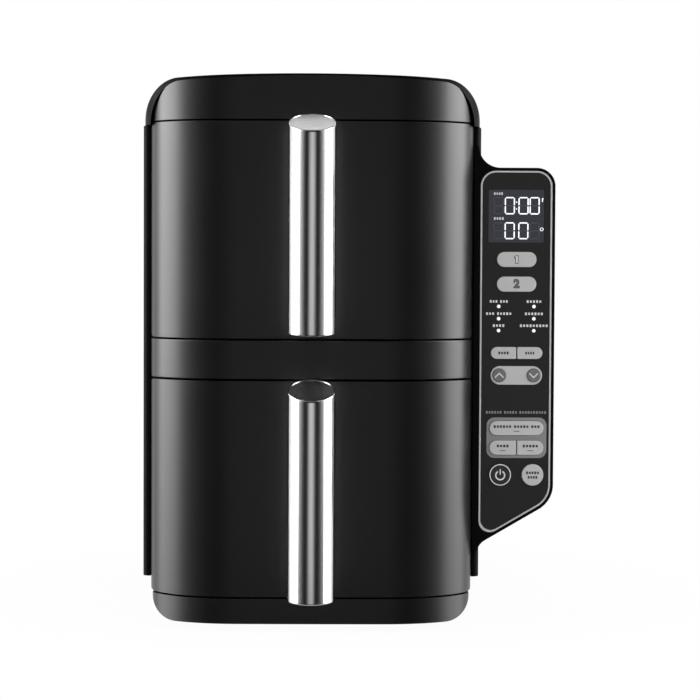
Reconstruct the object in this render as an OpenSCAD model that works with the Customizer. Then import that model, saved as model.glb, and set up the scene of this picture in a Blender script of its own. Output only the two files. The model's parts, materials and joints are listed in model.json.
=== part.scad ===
// Upright air fryer with two stacked drawers and a control panel at its right side.
// Millimetres. +Z is up, the drawers face -Y, and the panel stands out towards +X.

/* [Body] */
// Width over the two side panels
body_w = 237.4; // [236:0.2:239]
// Depth from the middle of the drawer fronts to the back face
body_d = 402; // [400:1:420]
// Height of the feet under the base
foot_h = 6; // [5:0.5:10]
// Height of the chin under the lower drawer
chin_h = 18; // [16:1:24]
// Height of the band between the drawers
strip_h = 28; // [26:1:36]
// Height of the brow over the upper drawer
brow_h = 30.6; // [28:0.2:38]
// How far the top cover stands above the brow
cover_rise = 1.4; // [1:0.1:3]
// Step from each side panel in to the top cover
cover_step = 1.3; // [0.8:0.1:2]
// Width of the cover's round shoulder
shoulder_w = 25; // [24:0.5:34]
// Height of the cover's round shoulder
shoulder_h = 28.5; // [28:0.5:33]
// Wall of the moulded covers
case_wall = 2.5; // [2:0.1:3]

/* [Fascia] */
// Step from each side panel in to the drawer fronts
fascia_step = 6; // [5.8:0.1:6.6]
// Width of the sweep at each side of the fascia
sweep_w = 61.6; // [50:0.2:70]
// Depth of that sweep
sweep_d = 41.6; // [38:0.2:42]
// Bow of the middle of the fascia
bow = 1.4; // [0.5:0.1:1.8]
// Fall of the brow's top edge from its middle to its ends
brow_fall = 4.6; // [3:0.1:6]
// Wall of the drawer fronts and the bezel's skins
skin = 3; // [2.5:0.1:3.5]
// Open seam round each drawer front
seam = 1.2; // [0.8:0.1:1.6]
// Corner radius of the drawer fronts
front_r = 3; // [2:0.5:5]

/* [Drawers] */
// Height of one drawer front, seam to seam
drawer_h = 150; // [148:1:156]
// Room between a basket's walls and the cavity's
basket_room = 4.5; // [4.2:0.1:6]
// Length of a basket over its walls
basket_l = 250; // [240:1:251]
// Depth of a basket, floor to rim
basket_h = 114; // [108:1:118]
// Height of the basket's floor above the drawer's lower seam
basket_lift = 12; // [11:0.5:14]
// Wall of the basket
basket_t = 2; // [1.5:0.1:2.5]
// Corner radius of the basket
basket_r = 20; // [15:1:26]
// Width of the rim that runs on the rails
rim_w = 3.5; // [3:0.1:3.6]
// Thickness of that rim
rim_t = 2; // [1.5:0.1:3]
// Thickness of the plate that closes a drawer front
back_t = 2.5; // [2:0.1:2.6]

/* [Crisper plates and racks] */
// Height of a crisper plate above the basket's floor
plate_lift = 14; // [12:0.5:18]
// Thickness of a crisper plate
plate_t = 1.5; // [1:0.1:2]
// Gap between a crisper plate and the basket's walls
plate_gap = 4; // [3.5:0.1:6]
// Width of one slot in a crisper plate
slot_w = 4; // [3:0.5:5]
// Length of one slot in a crisper plate
slot_l = 16; // [10:1:17]
// Height of a rack's deck above the crisper plate
rack_h = 50; // [40:1:56]
// Space between a rack and the basket's walls
rack_room = 13; // [12:0.5:20]
// Thickness of a rack's sheet
rack_t = 1.8; // [1.2:0.1:2.5]

/* [Handles] */
// Diameter of the grip tube
grip_d = 32; // [28:0.5:33]
// Wall of the grip tube
grip_t = 1.2; // [0.8:0.1:1.6]
// Distance from the fascia to the grip's axis
grip_reach = 45; // [42:0.5:48]
// Height of the grip's bottom above the drawer's lower seam
grip_low = 4.3; // [3:0.1:8]
// Length of the grip at its back
grip_l = 148.3; // [140:0.1:150]
// Slant of the grip's top
grip_slant = 22.3; // [10:0.1:26]
// Slant of the grip's bottom
grip_heel = 4; // [1:0.5:8]
// Width of the two arms that carry the grip
arm_w = 20; // [16:1:22]
// Height of each arm
arm_h = 15; // [12:0.5:18]
// Depth of the end caps below the tube's rim
cap_inset = 0.8; // [0.5:0.1:1.5]
// Thickness of the end caps
cap_t = 2; // [1.5:0.1:3]

/* [Control panel] */
// How far the panel housing stands out past the side panel
ear_w = 51.8; // [50:0.2:54]
// Distance of the panel's face behind the middle of the fascia
ear_y = 40; // [37:0.5:41]
// Depth of the panel housing
ear_d = 98; // [92:1:110]
// Height of the housing's top edge
ear_top = 321.8; // [318:0.2:324]
// Height where its right edge turns into the slope
ear_turn = 87.3; // [84:0.1:92]
// Angle of the slope below
ear_angle = 30.3; // [28:0.1:33]
// Radius of the housing's right top corner
ear_r = 13; // [11:0.5:16]
// Radius of the slanted corner
ear_low_r = 20; // [16:0.5:24]
// Width of the housing's rim round the overlay
ear_rim = 2.1; // [1.8:0.1:2.6]
// Thickness of the overlay
overlay_t = 2; // [1.5:0.1:3]
// Travel of a key
key_travel = 0.6; // [0.4:0.1:0.8]
// How far a key stands out of the overlay
key_proud = 0.8; // [0.7:0.1:1.2]
// Diameter of an indicator light
dot_d = 2.6; // [2:0.1:3.2]

/* [Cavities and heating] */
// Space between a cavity and the outside of the case
cavity_room = 16; // [15:0.1:17]
// Height inside a cavity
cavity_h = 138; // [136:0.5:140]
// Length inside a cavity
cavity_l = 296; // [295:1:300]
// Sheet of the cavities, guards and shield
sheet = 1; // [0.8:0.1:1.2]
// Depth of the fan chamber behind a guard
chamber_d = 42; // [41:0.5:42.5]
// Height of a drawer rail
rail_h = 3; // [2.5:0.1:4]
// Diameter of the heater's sheathed rod
rod_d = 7; // [6:0.1:7.5]
// Radius of the heater's outer ring
coil_r = 60; // [59:0.5:62]
// Diameter of a fan wheel
fan_d = 106; // [98:1:108]
// Height of the fan blades
blade_h = 16; // [12:0.5:18]
// Number of fan blades
blades = 12; // [8:1:16]
// Diameter of a motor shaft
shaft_d = 5; // [4:0.1:6]
// Diameter of a fan motor
motor_d = 64; // [58:1:70]
// Length of a fan motor
motor_l = 34; // [28:1:36]

/* [Back and base] */
// Depth of the rear cover
rear_d = 28; // [26:1:30]
// How far the wall spacers stand out at the back
spacer_d = 8; // [6:0.5:12]
// Height of one exhaust slot
louvre_h = 4; // [3:0.5:5]
// Number of exhaust slots in each bank
louvres = 8; // [4:1:9]
// Diameter of a foot
foot_d = 22; // [18:1:26]
// Diameter of the cord that the gland takes
cord_d = 7.5; // [6:0.1:8]
// Diameter of a case screw
screw_d = 4; // [3.5:0.1:4.2]

/* [Fits] */
// Gap between pieces that slide past each other
slide_gap = 0.3; // [0.2:0.05:0.4]
// Clearance all round a piece that drops into a seat
seat_gap = 0.1; // [0.05:0.01:0.15]
// Radial clearance of the motor shaft in its bearing
shaft_gap = 0.05; // [0.02:0.01:0.08]

/* [Hidden] */

$fn = 48;
over = 1;

// Heights, from the floor up
z_lower = foot_h + chin_h;
z_strip = z_lower + drawer_h;
z_upper = z_strip + strip_h;
z_brow = z_upper + drawer_h;
z_fascia = z_brow + brow_h;
z_top = z_fascia + cover_rise;
// The top cover falls this much to its sides, and its shoulders end just above the side panels
cover_crown = 4.2;
z_shoulder = z_top - shoulder_h - cover_crown - 1.3;
z_side = z_lower + 9;

// Widths that follow the body's
side_x = body_w / 2;
fascia_w = body_w - 2 * fascia_step;
cover_w = body_w - 2 * cover_step;
cavity_w = body_w - 2 * cavity_room;
basket_w = cavity_w - 2 * basket_room;
rack_w = basket_w - 2 * rack_room;
rack_l = basket_l - 2 * rack_room - 2;

// Places along Y
fascia_half = fascia_w / 2;
frame_t = 4;
frame_y = sweep_d + bow + 1;
cavity_y = frame_y + frame_t;
cavity_end = cavity_y + cavity_l;
guard_y = cavity_end - chamber_d;
rear_y = body_d - rear_d;
back_y = frame_y - 0.6;
tray_w = fascia_w - 5;
basket_end = back_y + basket_l;

// The origin stands under the middle of the whole object
ear_right = side_x + ear_w;
front_y = -grip_reach - grip_d / 2;
rear_end = body_d + spacer_d;
centre_x = (ear_right - side_x) / 2;
centre_y = (front_y + rear_end) / 2;

module place() {
    translate([-centre_x, -centre_y, 0]) children();
}

module both_sides() {
    children();
    mirror([1, 0, 0]) children();
}

// Colours
case_black = [0.07, 0.07, 0.075];
fascia_black = [0.12, 0.12, 0.125];
steel = [0.78, 0.78, 0.8];
dark_steel = [0.3, 0.3, 0.31];
key_grey = [0.66, 0.66, 0.68];
board_green = [0.08, 0.3, 0.16];

// ---- Shared outlines ----

// A point of the fascia's plan at x, set in by t: an elliptic sweep at each side and a slight bow between
function sweep_at(u) = 1 - sqrt(max(0, 1 - u * u));
function fascia_at(x, t) =
    t + bow * pow(x / fascia_half, 2)
    + (sweep_d - t) * sweep_at(max(0, (abs(x) - (fascia_half - sweep_w)) / (sweep_w - t)));
function fascia_xs(t) = concat(
    [for (i = [0 : 1 : 13]) -(fascia_half - sweep_w) - (sweep_w - t) * cos(i * 90 / 13)],
    [for (i = [1 : 1 : 7]) (fascia_half - sweep_w) * (i / 4 - 1)],
    [for (i = [13 : -1 : 0]) (fascia_half - sweep_w) + (sweep_w - t) * cos(i * 90 / 13)]
);

// The fascia's plan region from its front curve back to y
module fascia_plan(t, y) {
    xs = fascia_xs(t);
    polygon(concat(
        [for (x = xs) [x, fascia_at(x, t)]],
        [[fascia_half - t, y], [t - fascia_half, y]]
    ));
}

// A rectangle with round corners, made of exact arcs
module round_rect(w, h, r) {
    square([w - 2 * r, h], center = true);
    square([w, h - 2 * r], center = true);
    for (x = [-1, 1], y = [-1, 1]) {
        translate([x * (w / 2 - r), y * (h / 2 - r)]) circle(r);
    }
}

// Lays a front-view outline (x, z) down along Y, from y0 to y1
module along_y(y0, y1) {
    translate([0, y1, 0]) rotate([90, 0, 0]) linear_extrude(y1 - y0) children();
}

// Arc points for outlines
function arc(cx, cz, r, a0, a1, n) = [
    for (i = [0 : 1 : n]) let (a = a0 + (a1 - a0) * i / n) [cx + r * cos(a), cz + r * sin(a)]
];

// The brow's front view: a slightly arched top edge with wide round corners
brow_r_w = 22;
brow_r_h = 28;
function brow_at(x) =
    z_fascia - brow_fall * pow(abs(x) / fascia_half, 1.5)
    - brow_r_h * sweep_at(max(0, (abs(x) - (fascia_half - brow_r_w)) / brow_r_w));
function shoulder_xs(half, w, n, m) = concat(
    [for (i = [0 : 1 : n]) half - w + w * cos(i * 90 / n)],
    [for (i = [1 : 1 : 2 * m - 1]) (half - w) * (1 - i / m)],
    [for (i = [n : -1 : 0]) -(half - w + w * cos(i * 90 / n))]
);
module brow_outline() {
    polygon(concat(
        [[-fascia_half, z_brow - drawer_h / 2], [fascia_half, z_brow - drawer_h / 2]],
        [for (x = shoulder_xs(fascia_half, brow_r_w, 12, 6)) [x, brow_at(x)]]
    ));
}

// The top cover's front view, set in by t
function cover_at(x, t) =
    z_top - t - cover_crown * pow(x / (cover_w / 2), 2)
    - (shoulder_h - t) * sweep_at(max(0, (abs(x) - (cover_w / 2 - shoulder_w)) / (shoulder_w - t)));
module cover_outline(t, z0) {
    half = cover_w / 2;
    polygon(concat(
        [[t - half, z0], [half - t, z0]],
        [for (x = shoulder_xs(half - t, shoulder_w - t, 12, 4)) [x, cover_at(x, t)]]
    ));
}

// The body's plan behind the fascia, set in by t: the cover's front edge follows the fascia's sweep
cover_lag = 3.4;
module cover_plan(t, y) {
    half = cover_w / 2;
    k = half / fascia_half;
    xs = fascia_xs(t);
    polygon(concat(
        [for (x = xs) [x * k, fascia_at(x, t) + cover_lag]],
        [[k * (fascia_half - t), y], [k * (t - fascia_half), y]]
    ));
}

// ---- Housing ----

opening_r = 6;
module cavity_hole(z, y0, y1, grow) {
    translate([0, 0, z + drawer_h / 2]) along_y(y0, y1)
        round_rect(cavity_w + grow, cavity_h + grow, opening_r);
}

// One hollow band of the bezel between two heights
module band(z0, z1) {
    web = 2.5;
    difference() {
        translate([0, 0, z0]) linear_extrude(z1 - z0) fascia_plan(0, cavity_y);
        translate([0, 0, z0 + web]) linear_extrude(z1 - z0 - 2 * web) fascia_plan(skin, frame_y);
    }
}

// The bezel: brow, band and chin in front of a plate with the two drawer openings
chin_w = fascia_w - 3.5;
chin_r_w = 17;
chin_r_h = 15.5;
function chin_curve(side, a, t) = [
    side * (chin_w / 2 - t - (chin_r_w - t) * (1 - cos(a))),
    foot_h + t + (chin_r_h - t) * (1 - sin(a))
];
module chin_outline(top, t) {
    polygon(concat(
        [[chin_w / 2 - t, top], [t - chin_w / 2, top]],
        [for (i = [0 : 1 : 10]) chin_curve(-1, i * 9, t)],
        [for (i = [10 : -1 : 0]) chin_curve(1, i * 9, t)]
    ));
}
module brow_skin() {
    web = 2.5;
    intersection() {
        difference() {
            translate([0, 0, z_brow + seam / 2]) linear_extrude(brow_h) fascia_plan(0, frame_y);
            translate([0, 0, z_brow + seam / 2 + web]) linear_extrude(brow_h)
                fascia_plan(skin, frame_y + over);
        }
        along_y(-over, frame_y + over) brow_outline();
    }
}
module front_bezel() {
    plate_low = foot_h + 6;
    heel_w = chin_w - 12;
    plate_top_w = fascia_w - 2 * brow_r_w;
    color(fascia_black) place() difference() {
        union() {
            translate([-fascia_half, frame_y, z_lower]) cube([fascia_w, frame_t, z_brow - z_lower]);
            translate([-heel_w / 2, frame_y, plate_low]) cube([heel_w, frame_t, z_lower + over - plate_low]);
            translate([-plate_top_w / 2, frame_y, z_brow - over]) cube([plate_top_w, frame_t, 18]);
            band(z_strip + seam / 2, z_upper - seam / 2);
            brow_skin();
            intersection() {
                band(foot_h, z_lower - seam / 2);
                along_y(-over, cavity_y) chin_outline(z_lower + over, 0);
            }
        }
        cavity_hole(z_lower, frame_y - over, cavity_y + over, 0);
        cavity_hole(z_upper, frame_y - over, cavity_y + over, 0);
    }
}

// The arched cover, with a mouth for the bezel's brow
module top_cover() {
    color(case_black) place() difference() {
        intersection() {
            along_y(0, rear_y) cover_outline(0, z_shoulder);
            translate([0, 0, z_shoulder - over]) linear_extrude(z_top) cover_plan(0, rear_y);
        }
        intersection() {
            along_y(0, rear_y + over) cover_outline(case_wall, z_shoulder - over);
            translate([0, 0, z_shoulder - 2 * over]) linear_extrude(z_top)
                cover_plan(case_wall, rear_y + over);
        }
        // mouth that the bezel's brow fills
        along_y(-over, frame_y + seat_gap) brow_outline();
    }
}

// A side panel's plan: a flat wall whose front edge curls in to the bezel
curl_r = 4.6;
module side_plan() {
    inner = fascia_half + 0.4;
    difference() {
        union() {
            translate([inner, frame_y + curl_r]) square([side_x - inner, rear_y - frame_y - curl_r]);
            translate([inner, frame_y]) square([side_x - inner - curl_r, curl_r + over]);
            translate([side_x - curl_r, frame_y + curl_r]) circle(curl_r);
        }
        translate([0, cavity_y]) square([side_x - case_wall, rear_y]);
        translate([0, frame_y - over]) square([inner, rear_y]);
    }
}
boss_r = 5;
boss_x = side_x - case_wall - boss_r + 0.5;
rear_sink = 4;
base_sink = 8;
base_screw_x = tray_w / 2 - case_wall - 4;
base_screw_y = rear_y - 12;
panel_lap = side_x - cavity_w / 2 - sheet - 1;
rear_screw_z = [60, 190, 320];
module side_panel() {
    difference() {
        union() {
            translate([0, 0, z_side]) linear_extrude(z_shoulder - z_side) side_plan();
            // flange that sits on the base tray
            translate([side_x - panel_lap, cavity_y + sheet + seat_gap, z_side])
                cube([panel_lap, rear_y - cavity_y - sheet - seat_gap, case_wall]);
            // lip that carries the top cover
            translate([side_x - 8, cavity_y, z_shoulder - case_wall])
                cube([8 - case_wall, rear_y - cavity_y, case_wall]);
            for (z = rear_screw_z) {
                translate([boss_x, rear_y, z]) rotate([90, 0, 0]) cylinder(r = boss_r, h = 14);
            }
            translate([base_screw_x, base_screw_y, z_side]) cylinder(r = boss_r, h = 12);
        }
        for (z = rear_screw_z) {
            translate([boss_x, rear_y + over, z]) rotate([90, 0, 0])
                cylinder(d = screw_d + 2 * seat_gap, h = 12 + over);
        }
        translate([base_screw_x, base_screw_y, z_side - over])
            cylinder(d = screw_d + 2 * seat_gap, h = 10 + over);
    }
}
module left_side_panel() {
    color(case_black) place() mirror([1, 0, 0]) side_panel();
}
// Cable port and board posts on the right panel, inside the control housing
port_y = 112;
port_z = 100;
port_d = 12;
board_x = side_x + 7;
board_y0 = 56;
board_w = 74;
board_z0 = 112;
board_hgt = 180;
module board_posts() {
    for (y = [board_y0 + 6, board_y0 + board_w - 6], z = [board_z0 + 6, board_z0 + board_hgt - 6]) {
        translate([side_x - case_wall / 2, y, z]) rotate([0, 90, 0])
            cylinder(d = 7, h = board_x - side_x + case_wall / 2);
    }
}
module right_side_panel() {
    color(case_black) place() difference() {
        union() {
            side_panel();
            board_posts();
        }
        translate([side_x - case_wall - over, port_y, port_z]) rotate([0, 90, 0])
            cylinder(d = port_d, h = case_wall + 2 * over);
    }
}

// The rear cover: a tub that closes the back, with exhaust slots and two wall spacers
module case_outline(t) {
    cover_outline(t, z_shoulder - over);
    translate([t - side_x, z_side + t]) square([body_w - 2 * t, z_shoulder - z_side - t]);
}
louvre_pitch = louvre_h * 2;
louvre_l = 76;
gland_x = side_x - 10.5;
gland_z = port_z;
gland_r = 6.5;
module louvre_bank(z) {
    for (i = [0 : 1 : louvres - 1]) {
        translate([-louvre_l / 2, body_d - case_wall - over, z + i * louvre_pitch])
            cube([louvre_l, case_wall + 2 * over, louvre_h]);
    }
}
module rear_cover() {
    spacer_x = 70;
    color(case_black) place() difference() {
        union() {
            difference() {
                along_y(rear_y, body_d) case_outline(0);
                along_y(rear_y - over, body_d - case_wall) case_outline(case_wall);
            }
            both_sides() for (z = rear_screw_z) {
                translate([boss_x, body_d - case_wall / 2, z]) rotate([90, 0, 0])
                    cylinder(r = boss_r, h = rear_d - case_wall / 2);
            }
            both_sides() translate([spacer_x, body_d - case_wall / 2, z_top - 80])
                rotate([-90, 0, 0]) cylinder(r1 = 14, r2 = 11, h = spacer_d + case_wall / 2);
        }
        for (z = [z_lower, z_upper]) {
            louvre_bank(z + drawer_h / 2 - (louvres * louvre_pitch - louvre_h) / 2);
        }
        both_sides() for (z = rear_screw_z) {
            translate([boss_x, body_d + over, z]) rotate([90, 0, 0])
                cylinder(d = screw_d + 2 * seat_gap, h = rear_d + 2 * over);
            translate([boss_x, body_d + over, z]) rotate([90, 0, 0])
                cylinder(r = head_r + seat_gap, h = over + head_h + rear_sink);
        }
        translate([gland_x, body_d + over, gland_z]) rotate([90, 0, 0])
            cylinder(r = gland_r - 1.5, h = case_wall + 2 * over);
    }
}

// The base: a shallow tray with saddles for the lower cavity and towers for the base screws
tray_in = (chin_w - tray_w) / 2;
module tray_shell(inner_w) {
    difference() {
        translate([0, (cavity_y + body_d) / 2, foot_h]) linear_extrude(z_side - foot_h)
            round_rect(tray_w, body_d - cavity_y, chin_r_w);
        intersection() {
            translate([0, (cavity_y + body_d) / 2, foot_h + case_wall]) linear_extrude(z_side)
                round_rect(inner_w, body_d - cavity_y - 2 * case_wall, chin_r_w - case_wall);
            along_y(cavity_y, body_d) chin_outline(z_side + 2 * over, tray_in + case_wall);
        }
    }
}
module base_tray() {
    saddle_w = 150;
    inner_w = tray_w - 2 * case_wall;
    color(case_black) place() difference() {
        intersection() {
            union() {
                tray_shell(inner_w);
                for (y = [cavity_y + 62, cavity_end - 54]) {
                    translate([-saddle_w / 2, y, foot_h])
                        cube([saddle_w, 4, cavity_low(z_lower) - foot_h]);
                }
                both_sides() translate([base_screw_x, base_screw_y, foot_h])
                    cylinder(r = boss_r, h = z_side - foot_h);
            }
            along_y(cavity_y - over, body_d + over) chin_outline(z_side + over, tray_in);
        }
        both_sides() translate([base_screw_x, base_screw_y, foot_h - over]) {
            cylinder(d = screw_d + 2 * seat_gap, h = z_side);
            cylinder(r = head_r + seat_gap, h = over + head_h + base_sink);
        }
        // pocket for the flange of the lower cavity
        translate([0, cavity_y - over, cavity_low(z_lower) + sheet - flange_w - seat_gap])
            translate([-cavity_w / 2 - flange_w - seat_gap, 0, 0])
            cube([cavity_w + 2 * flange_w + 2 * seat_gap, over + sheet + seat_gap, cavity_h]);
        translate([-cavity_w / 2 - sheet - seat_gap, cavity_y - over, cavity_low(z_lower)])
            cube([cavity_w + 2 * sheet + 2 * seat_gap, over + chin_r_w, cavity_h]);
        for (x = [-foot_x, foot_x], y = foot_ys) {
            translate([x, y, foot_h - over]) cylinder(r = foot_pin_r, h = case_wall + 2 * over);
        }
    }
}
function cavity_low(z) = z + drawer_h / 2 - cavity_h / 2 - sheet;

// Rubber feet with a plug through the tray's floor
foot_x = chin_w / 2 - chin_r_w - foot_d / 2 + 1;
foot_ys = [cavity_y + foot_d / 2 + 1.5, body_d - 40];
foot_pin_r = 3;
module feet() {
    color([0.05, 0.05, 0.05]) place() for (x = [-foot_x, foot_x], y = foot_ys) {
        translate([x, y, 0]) {
            cylinder(d1 = foot_d - 3, d2 = foot_d, h = 1.5);
            translate([0, 0, 1.5]) cylinder(d = foot_d, h = foot_h - 1.5);
            cylinder(r = foot_pin_r, h = foot_h + case_wall);
        }
    }
}

// Screws of the case: pan heads with a cross recess, sunk in their bosses
head_r = 3.6;
head_h = 2.4;
module screw(l) {
    difference() {
        union() {
            cylinder(d = screw_d, h = l);
            translate([0, 0, -head_h]) cylinder(r = head_r, h = head_h);
        }
        for (a = [0, 90]) {
            rotate(a) translate([-2, -0.4, -head_h - over]) cube([4, 0.8, over + 1.2]);
        }
    }
}
module case_screws() {
    color(dark_steel) place() both_sides() {
        for (z = rear_screw_z) {
            translate([boss_x, body_d - head_h - rear_sink, z]) rotate([90, 0, 0])
                screw(rear_d - head_h - rear_sink + 10);
        }
        translate([base_screw_x, base_screw_y, foot_h + head_h + base_sink])
            screw(z_side - foot_h - head_h - base_sink + 8);
    }
}

// ---- Cavities ----

flange_w = 5;

module cavity(z) {
    mid = z + drawer_h / 2;
    color(steel) place() difference() {
        union() {
            cavity_hole(z, cavity_y, cavity_end + sheet, 2 * sheet);
            translate([0, 0, mid]) along_y(cavity_y, cavity_y + sheet)
                round_rect(cavity_w + 2 * flange_w, cavity_h + 2 * flange_w, opening_r);
        }
        cavity_hole(z, cavity_y - over, cavity_end, 0);
        translate([0, cavity_end - over, mid]) rotate([-90, 0, 0])
            cylinder(r = shaft_d / 2 + 1.5, h = sheet + 2 * over);
        for (x = [-coil_r, coil_r]) {
            translate([x, cavity_end - over, mid]) rotate([-90, 0, 0])
                cylinder(d = rod_d, h = sheet + 2 * over);
        }
        translate([-sensor_x, cavity_end - over, mid - sensor_drop]) rotate([-90, 0, 0])
            cylinder(r = 2, h = sheet + 2 * over);
    }
}
module upper_cavity() cavity(z_upper);
module lower_cavity() cavity(z_lower);

// Rails on the cavity walls that carry the baskets by their rims
rail_w = cavity_w / 2 - basket_w / 2 - 0.8;
function rim_z(z) = z + basket_lift + basket_h - rim_t;
module drawer_rails() {
    color(dark_steel) place() both_sides() for (z = [z_lower, z_upper]) {
        translate([cavity_w / 2 - rail_w, cavity_y + 12, rim_z(z) - slide_gap - rail_h])
            cube([rail_w, guard_y - cavity_y - 12, rail_h]);
    }
}

// A folded steel sheet between the cavities that carries the upper one
module heat_shield() {
    low = cavity_low(z_lower) + cavity_h + 2 * sheet;
    high = cavity_low(z_upper);
    mid = (low + high) / 2;
    l = cavity_l - 30;
    color(steel) place() translate([0, cavity_y + 15, 0]) {
        translate([-cavity_w / 2, 0, mid]) cube([cavity_w, l, sheet]);
        both_sides() {
            translate([cavity_w / 2 - sheet, 0, low]) cube([sheet, l, mid - low + sheet]);
            translate([cavity_w / 4, 0, mid]) cube([sheet, l, high - mid]);
        }
    }
}

// A sheathed heater of two rings in front of each fan
heater_y = guard_y + 10;
module heater(z) {
    inner_r = coil_r - 18;
    translate([0, heater_y, z + drawer_h / 2]) rotate([-90, 0, 0]) {
        rotate_extrude() translate([coil_r, 0]) circle(d = rod_d);
        rotate_extrude() translate([inner_r, 0]) circle(d = rod_d);
        for (a = [90, 270]) {
            rotate([0, 0, a]) translate([inner_r, 0, 0]) rotate([0, 90, 0])
                cylinder(d = rod_d - 1, h = coil_r - inner_r);
        }
        for (x = [-coil_r, coil_r]) {
            translate([x, 0, 0]) cylinder(d = rod_d, h = cavity_end + sheet - heater_y);
            translate([x, 0, cavity_end - 2 - heater_y]) cylinder(d = rod_d + 8, h = 2);
            translate([x, 0, cavity_end + sheet - heater_y]) cylinder(d = rod_d + 3, h = 8);
        }
    }
}
module heaters() {
    color(dark_steel) place() for (z = [z_lower, z_upper]) heater(z);
}

// Perforated guards between the baskets and the fans
module fan_guards() {
    hole_r = 4;
    color(steel) place() for (z = [z_lower, z_upper]) {
        translate([0, guard_y, z + drawer_h / 2]) difference() {
            along_y(0, sheet) round_rect(cavity_w, cavity_h, opening_r);
            for (ring = [1 : 1 : 3], i = [0 : 1 : 6 * ring - 1]) {
                rotate([0, i * 60 / ring, 0]) translate([ring * 14, -over, 0]) rotate([-90, 0, 0])
                    cylinder(r = hole_r, h = 4);
            }
            both_sides() for (x = [74, 84, 94]) {
                translate([x - 2, -over, -48]) cube([4, 4, 96]);
            }
        }
    }
}

// A wheel with radial blades on its own motor shaft
blade_y = heater_y + rod_d / 2 + 4;
module fan(z) {
    color(steel) place() translate([0, blade_y, z + drawer_h / 2]) rotate([-90, 0, 0]) {
        translate([0, 0, blade_h]) cylinder(d = fan_d, h = 1.2);
        cylinder(d = 18, h = blade_h + 3);
        cylinder(d = shaft_d, h = motor_y + motor_l - 4 - blade_y);
        for (i = [0 : 1 : blades - 1]) {
            rotate(i * 360 / blades) translate([16, -0.6, 0]) cube([fan_d / 2 - 16, 1.2, blade_h + 0.5]);
        }
    }
}
module upper_fan() fan(z_upper);
module lower_fan() fan(z_lower);

// Motors behind the cavities, each on three legs
motor_y = cavity_end + sheet + 12;
module fan_motors() {
    color(dark_steel) place() for (z = [z_lower, z_upper]) {
        translate([0, motor_y, z + drawer_h / 2]) rotate([-90, 0, 0]) difference() {
            union() {
                cylinder(d = motor_d, h = motor_l);
                for (a = [30, 150, 270]) {
                    rotate(a) translate([motor_d / 2 - 5, 0, cavity_end + sheet - motor_y])
                        cylinder(d = 6, h = motor_y - cavity_end);
                }
            }
            translate([0, 0, -over]) cylinder(r = shaft_d / 2 + shaft_gap, h = motor_l + 2 * over);
        }
    }
}

// Probes that read the air temperature in each fan chamber
sensor_x = 85;
sensor_drop = 40;
module temperature_sensors() {
    color(steel) place() for (z = [z_lower, z_upper]) {
        translate([-sensor_x, cavity_end, z + drawer_h / 2 - sensor_drop]) rotate([-90, 0, 0]) {
            translate([0, 0, -24]) cylinder(r = 2, h = 24 + sheet);
            translate([0, 0, sheet]) cylinder(r = 4.5, h = 7);
        }
    }
}

// Disc thermostats on the cavity roofs
module thermal_cutouts() {
    color([0.85, 0.83, 0.78]) place() for (z = [z_lower, z_upper]) {
        translate([40, cavity_end - 30, cavity_low(z) + cavity_h + 2 * sheet]) {
            cylinder(d = 24, h = 1);
            cylinder(d = 16, h = 7);
            for (x = [-3, 3]) {
                translate([x - 2.4, -0.4, 6]) cube([4.8, 0.8, 5]);
            }
        }
    }
}

// Microswitches behind the bezel that tell when a drawer is shut
module door_switches() {
    color([0.1, 0.1, 0.1]) place() for (z = [z_lower, z_upper]) {
        translate([-side_x + case_wall, cavity_y, z + drawer_h / 2 - 10]) {
            cube([6, 10, 20]);
            translate([2, 10, 3]) cube([2, 4, 1]);
            translate([2, 10, 15]) cube([2, 4, 1]);
        }
    }
}

// ---- Control panel ----

// Outline of the housing seen from the front, set in by t and by a further amount at its left edge
ear_left = fascia_half + 0.9;
ear_base = 52.4;
function overlay_points(t) =
    let (l = ear_left + ear_rim + 2.2 + t, r = ear_right - ear_rim - t, top = ear_top - ear_rim - t)
    let (c = ear_r - ear_rim - t, c2 = ear_low_r - ear_rim - t)
    let (s = t / cos(ear_angle) + (ear_rim) / cos(ear_angle))
    let (turn = ear_turn + s - (ear_rim + t) * tan(ear_angle), low_r = 8 - t / 2)
    let (foot = turn - (r - l) * tan(ear_angle))
    concat(
        arc(r - c, top - c, c, 0, 90, 8),
        arc(l + c, top - c, c, 90, 180, 8),
        // the sharp left tip, rounded
        arc(
            l + low_r, foot + low_r / cos(ear_angle) + low_r * tan(ear_angle),
            low_r, 180, 270 + ear_angle, 8
        ),
        arc(r - c2, turn + c2 / cos(ear_angle) - c2 * tan(ear_angle), c2, 270 + ear_angle, 360, 8)
    );
module overlay_outline(t) {
    polygon(overlay_points(t));
}
module ear_outline(t) {
    top = ear_top - t;
    r = ear_right - t;
    c = ear_r - t;
    c2 = ear_low_r - t;
    turn = ear_turn + t / cos(ear_angle) - t * tan(ear_angle);
    fillet = 15 + t;
    foot = turn - (r - side_x) * tan(ear_angle);
    low_f = 12 + t;
    polygon(concat(
        arc(r - c, top - c, c, 0, 90, 8),
        arc(side_x - 2 + fillet, top + fillet, fillet, 270, 180, 8),
        [[ear_left + t, top + fillet], [ear_left + t, ear_base + t]],
        [[side_x - 2, ear_base + t]],
        arc(
            side_x - 2 + low_f, foot - low_f / cos(ear_angle) + (low_f - 2) * tan(ear_angle),
            low_f, 180, 90 + ear_angle, 6
        ),
        arc(r - c2, turn + c2 / cos(ear_angle) - c2 * tan(ear_angle), c2, 270 + ear_angle, 360, 8)
    ));
}
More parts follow.
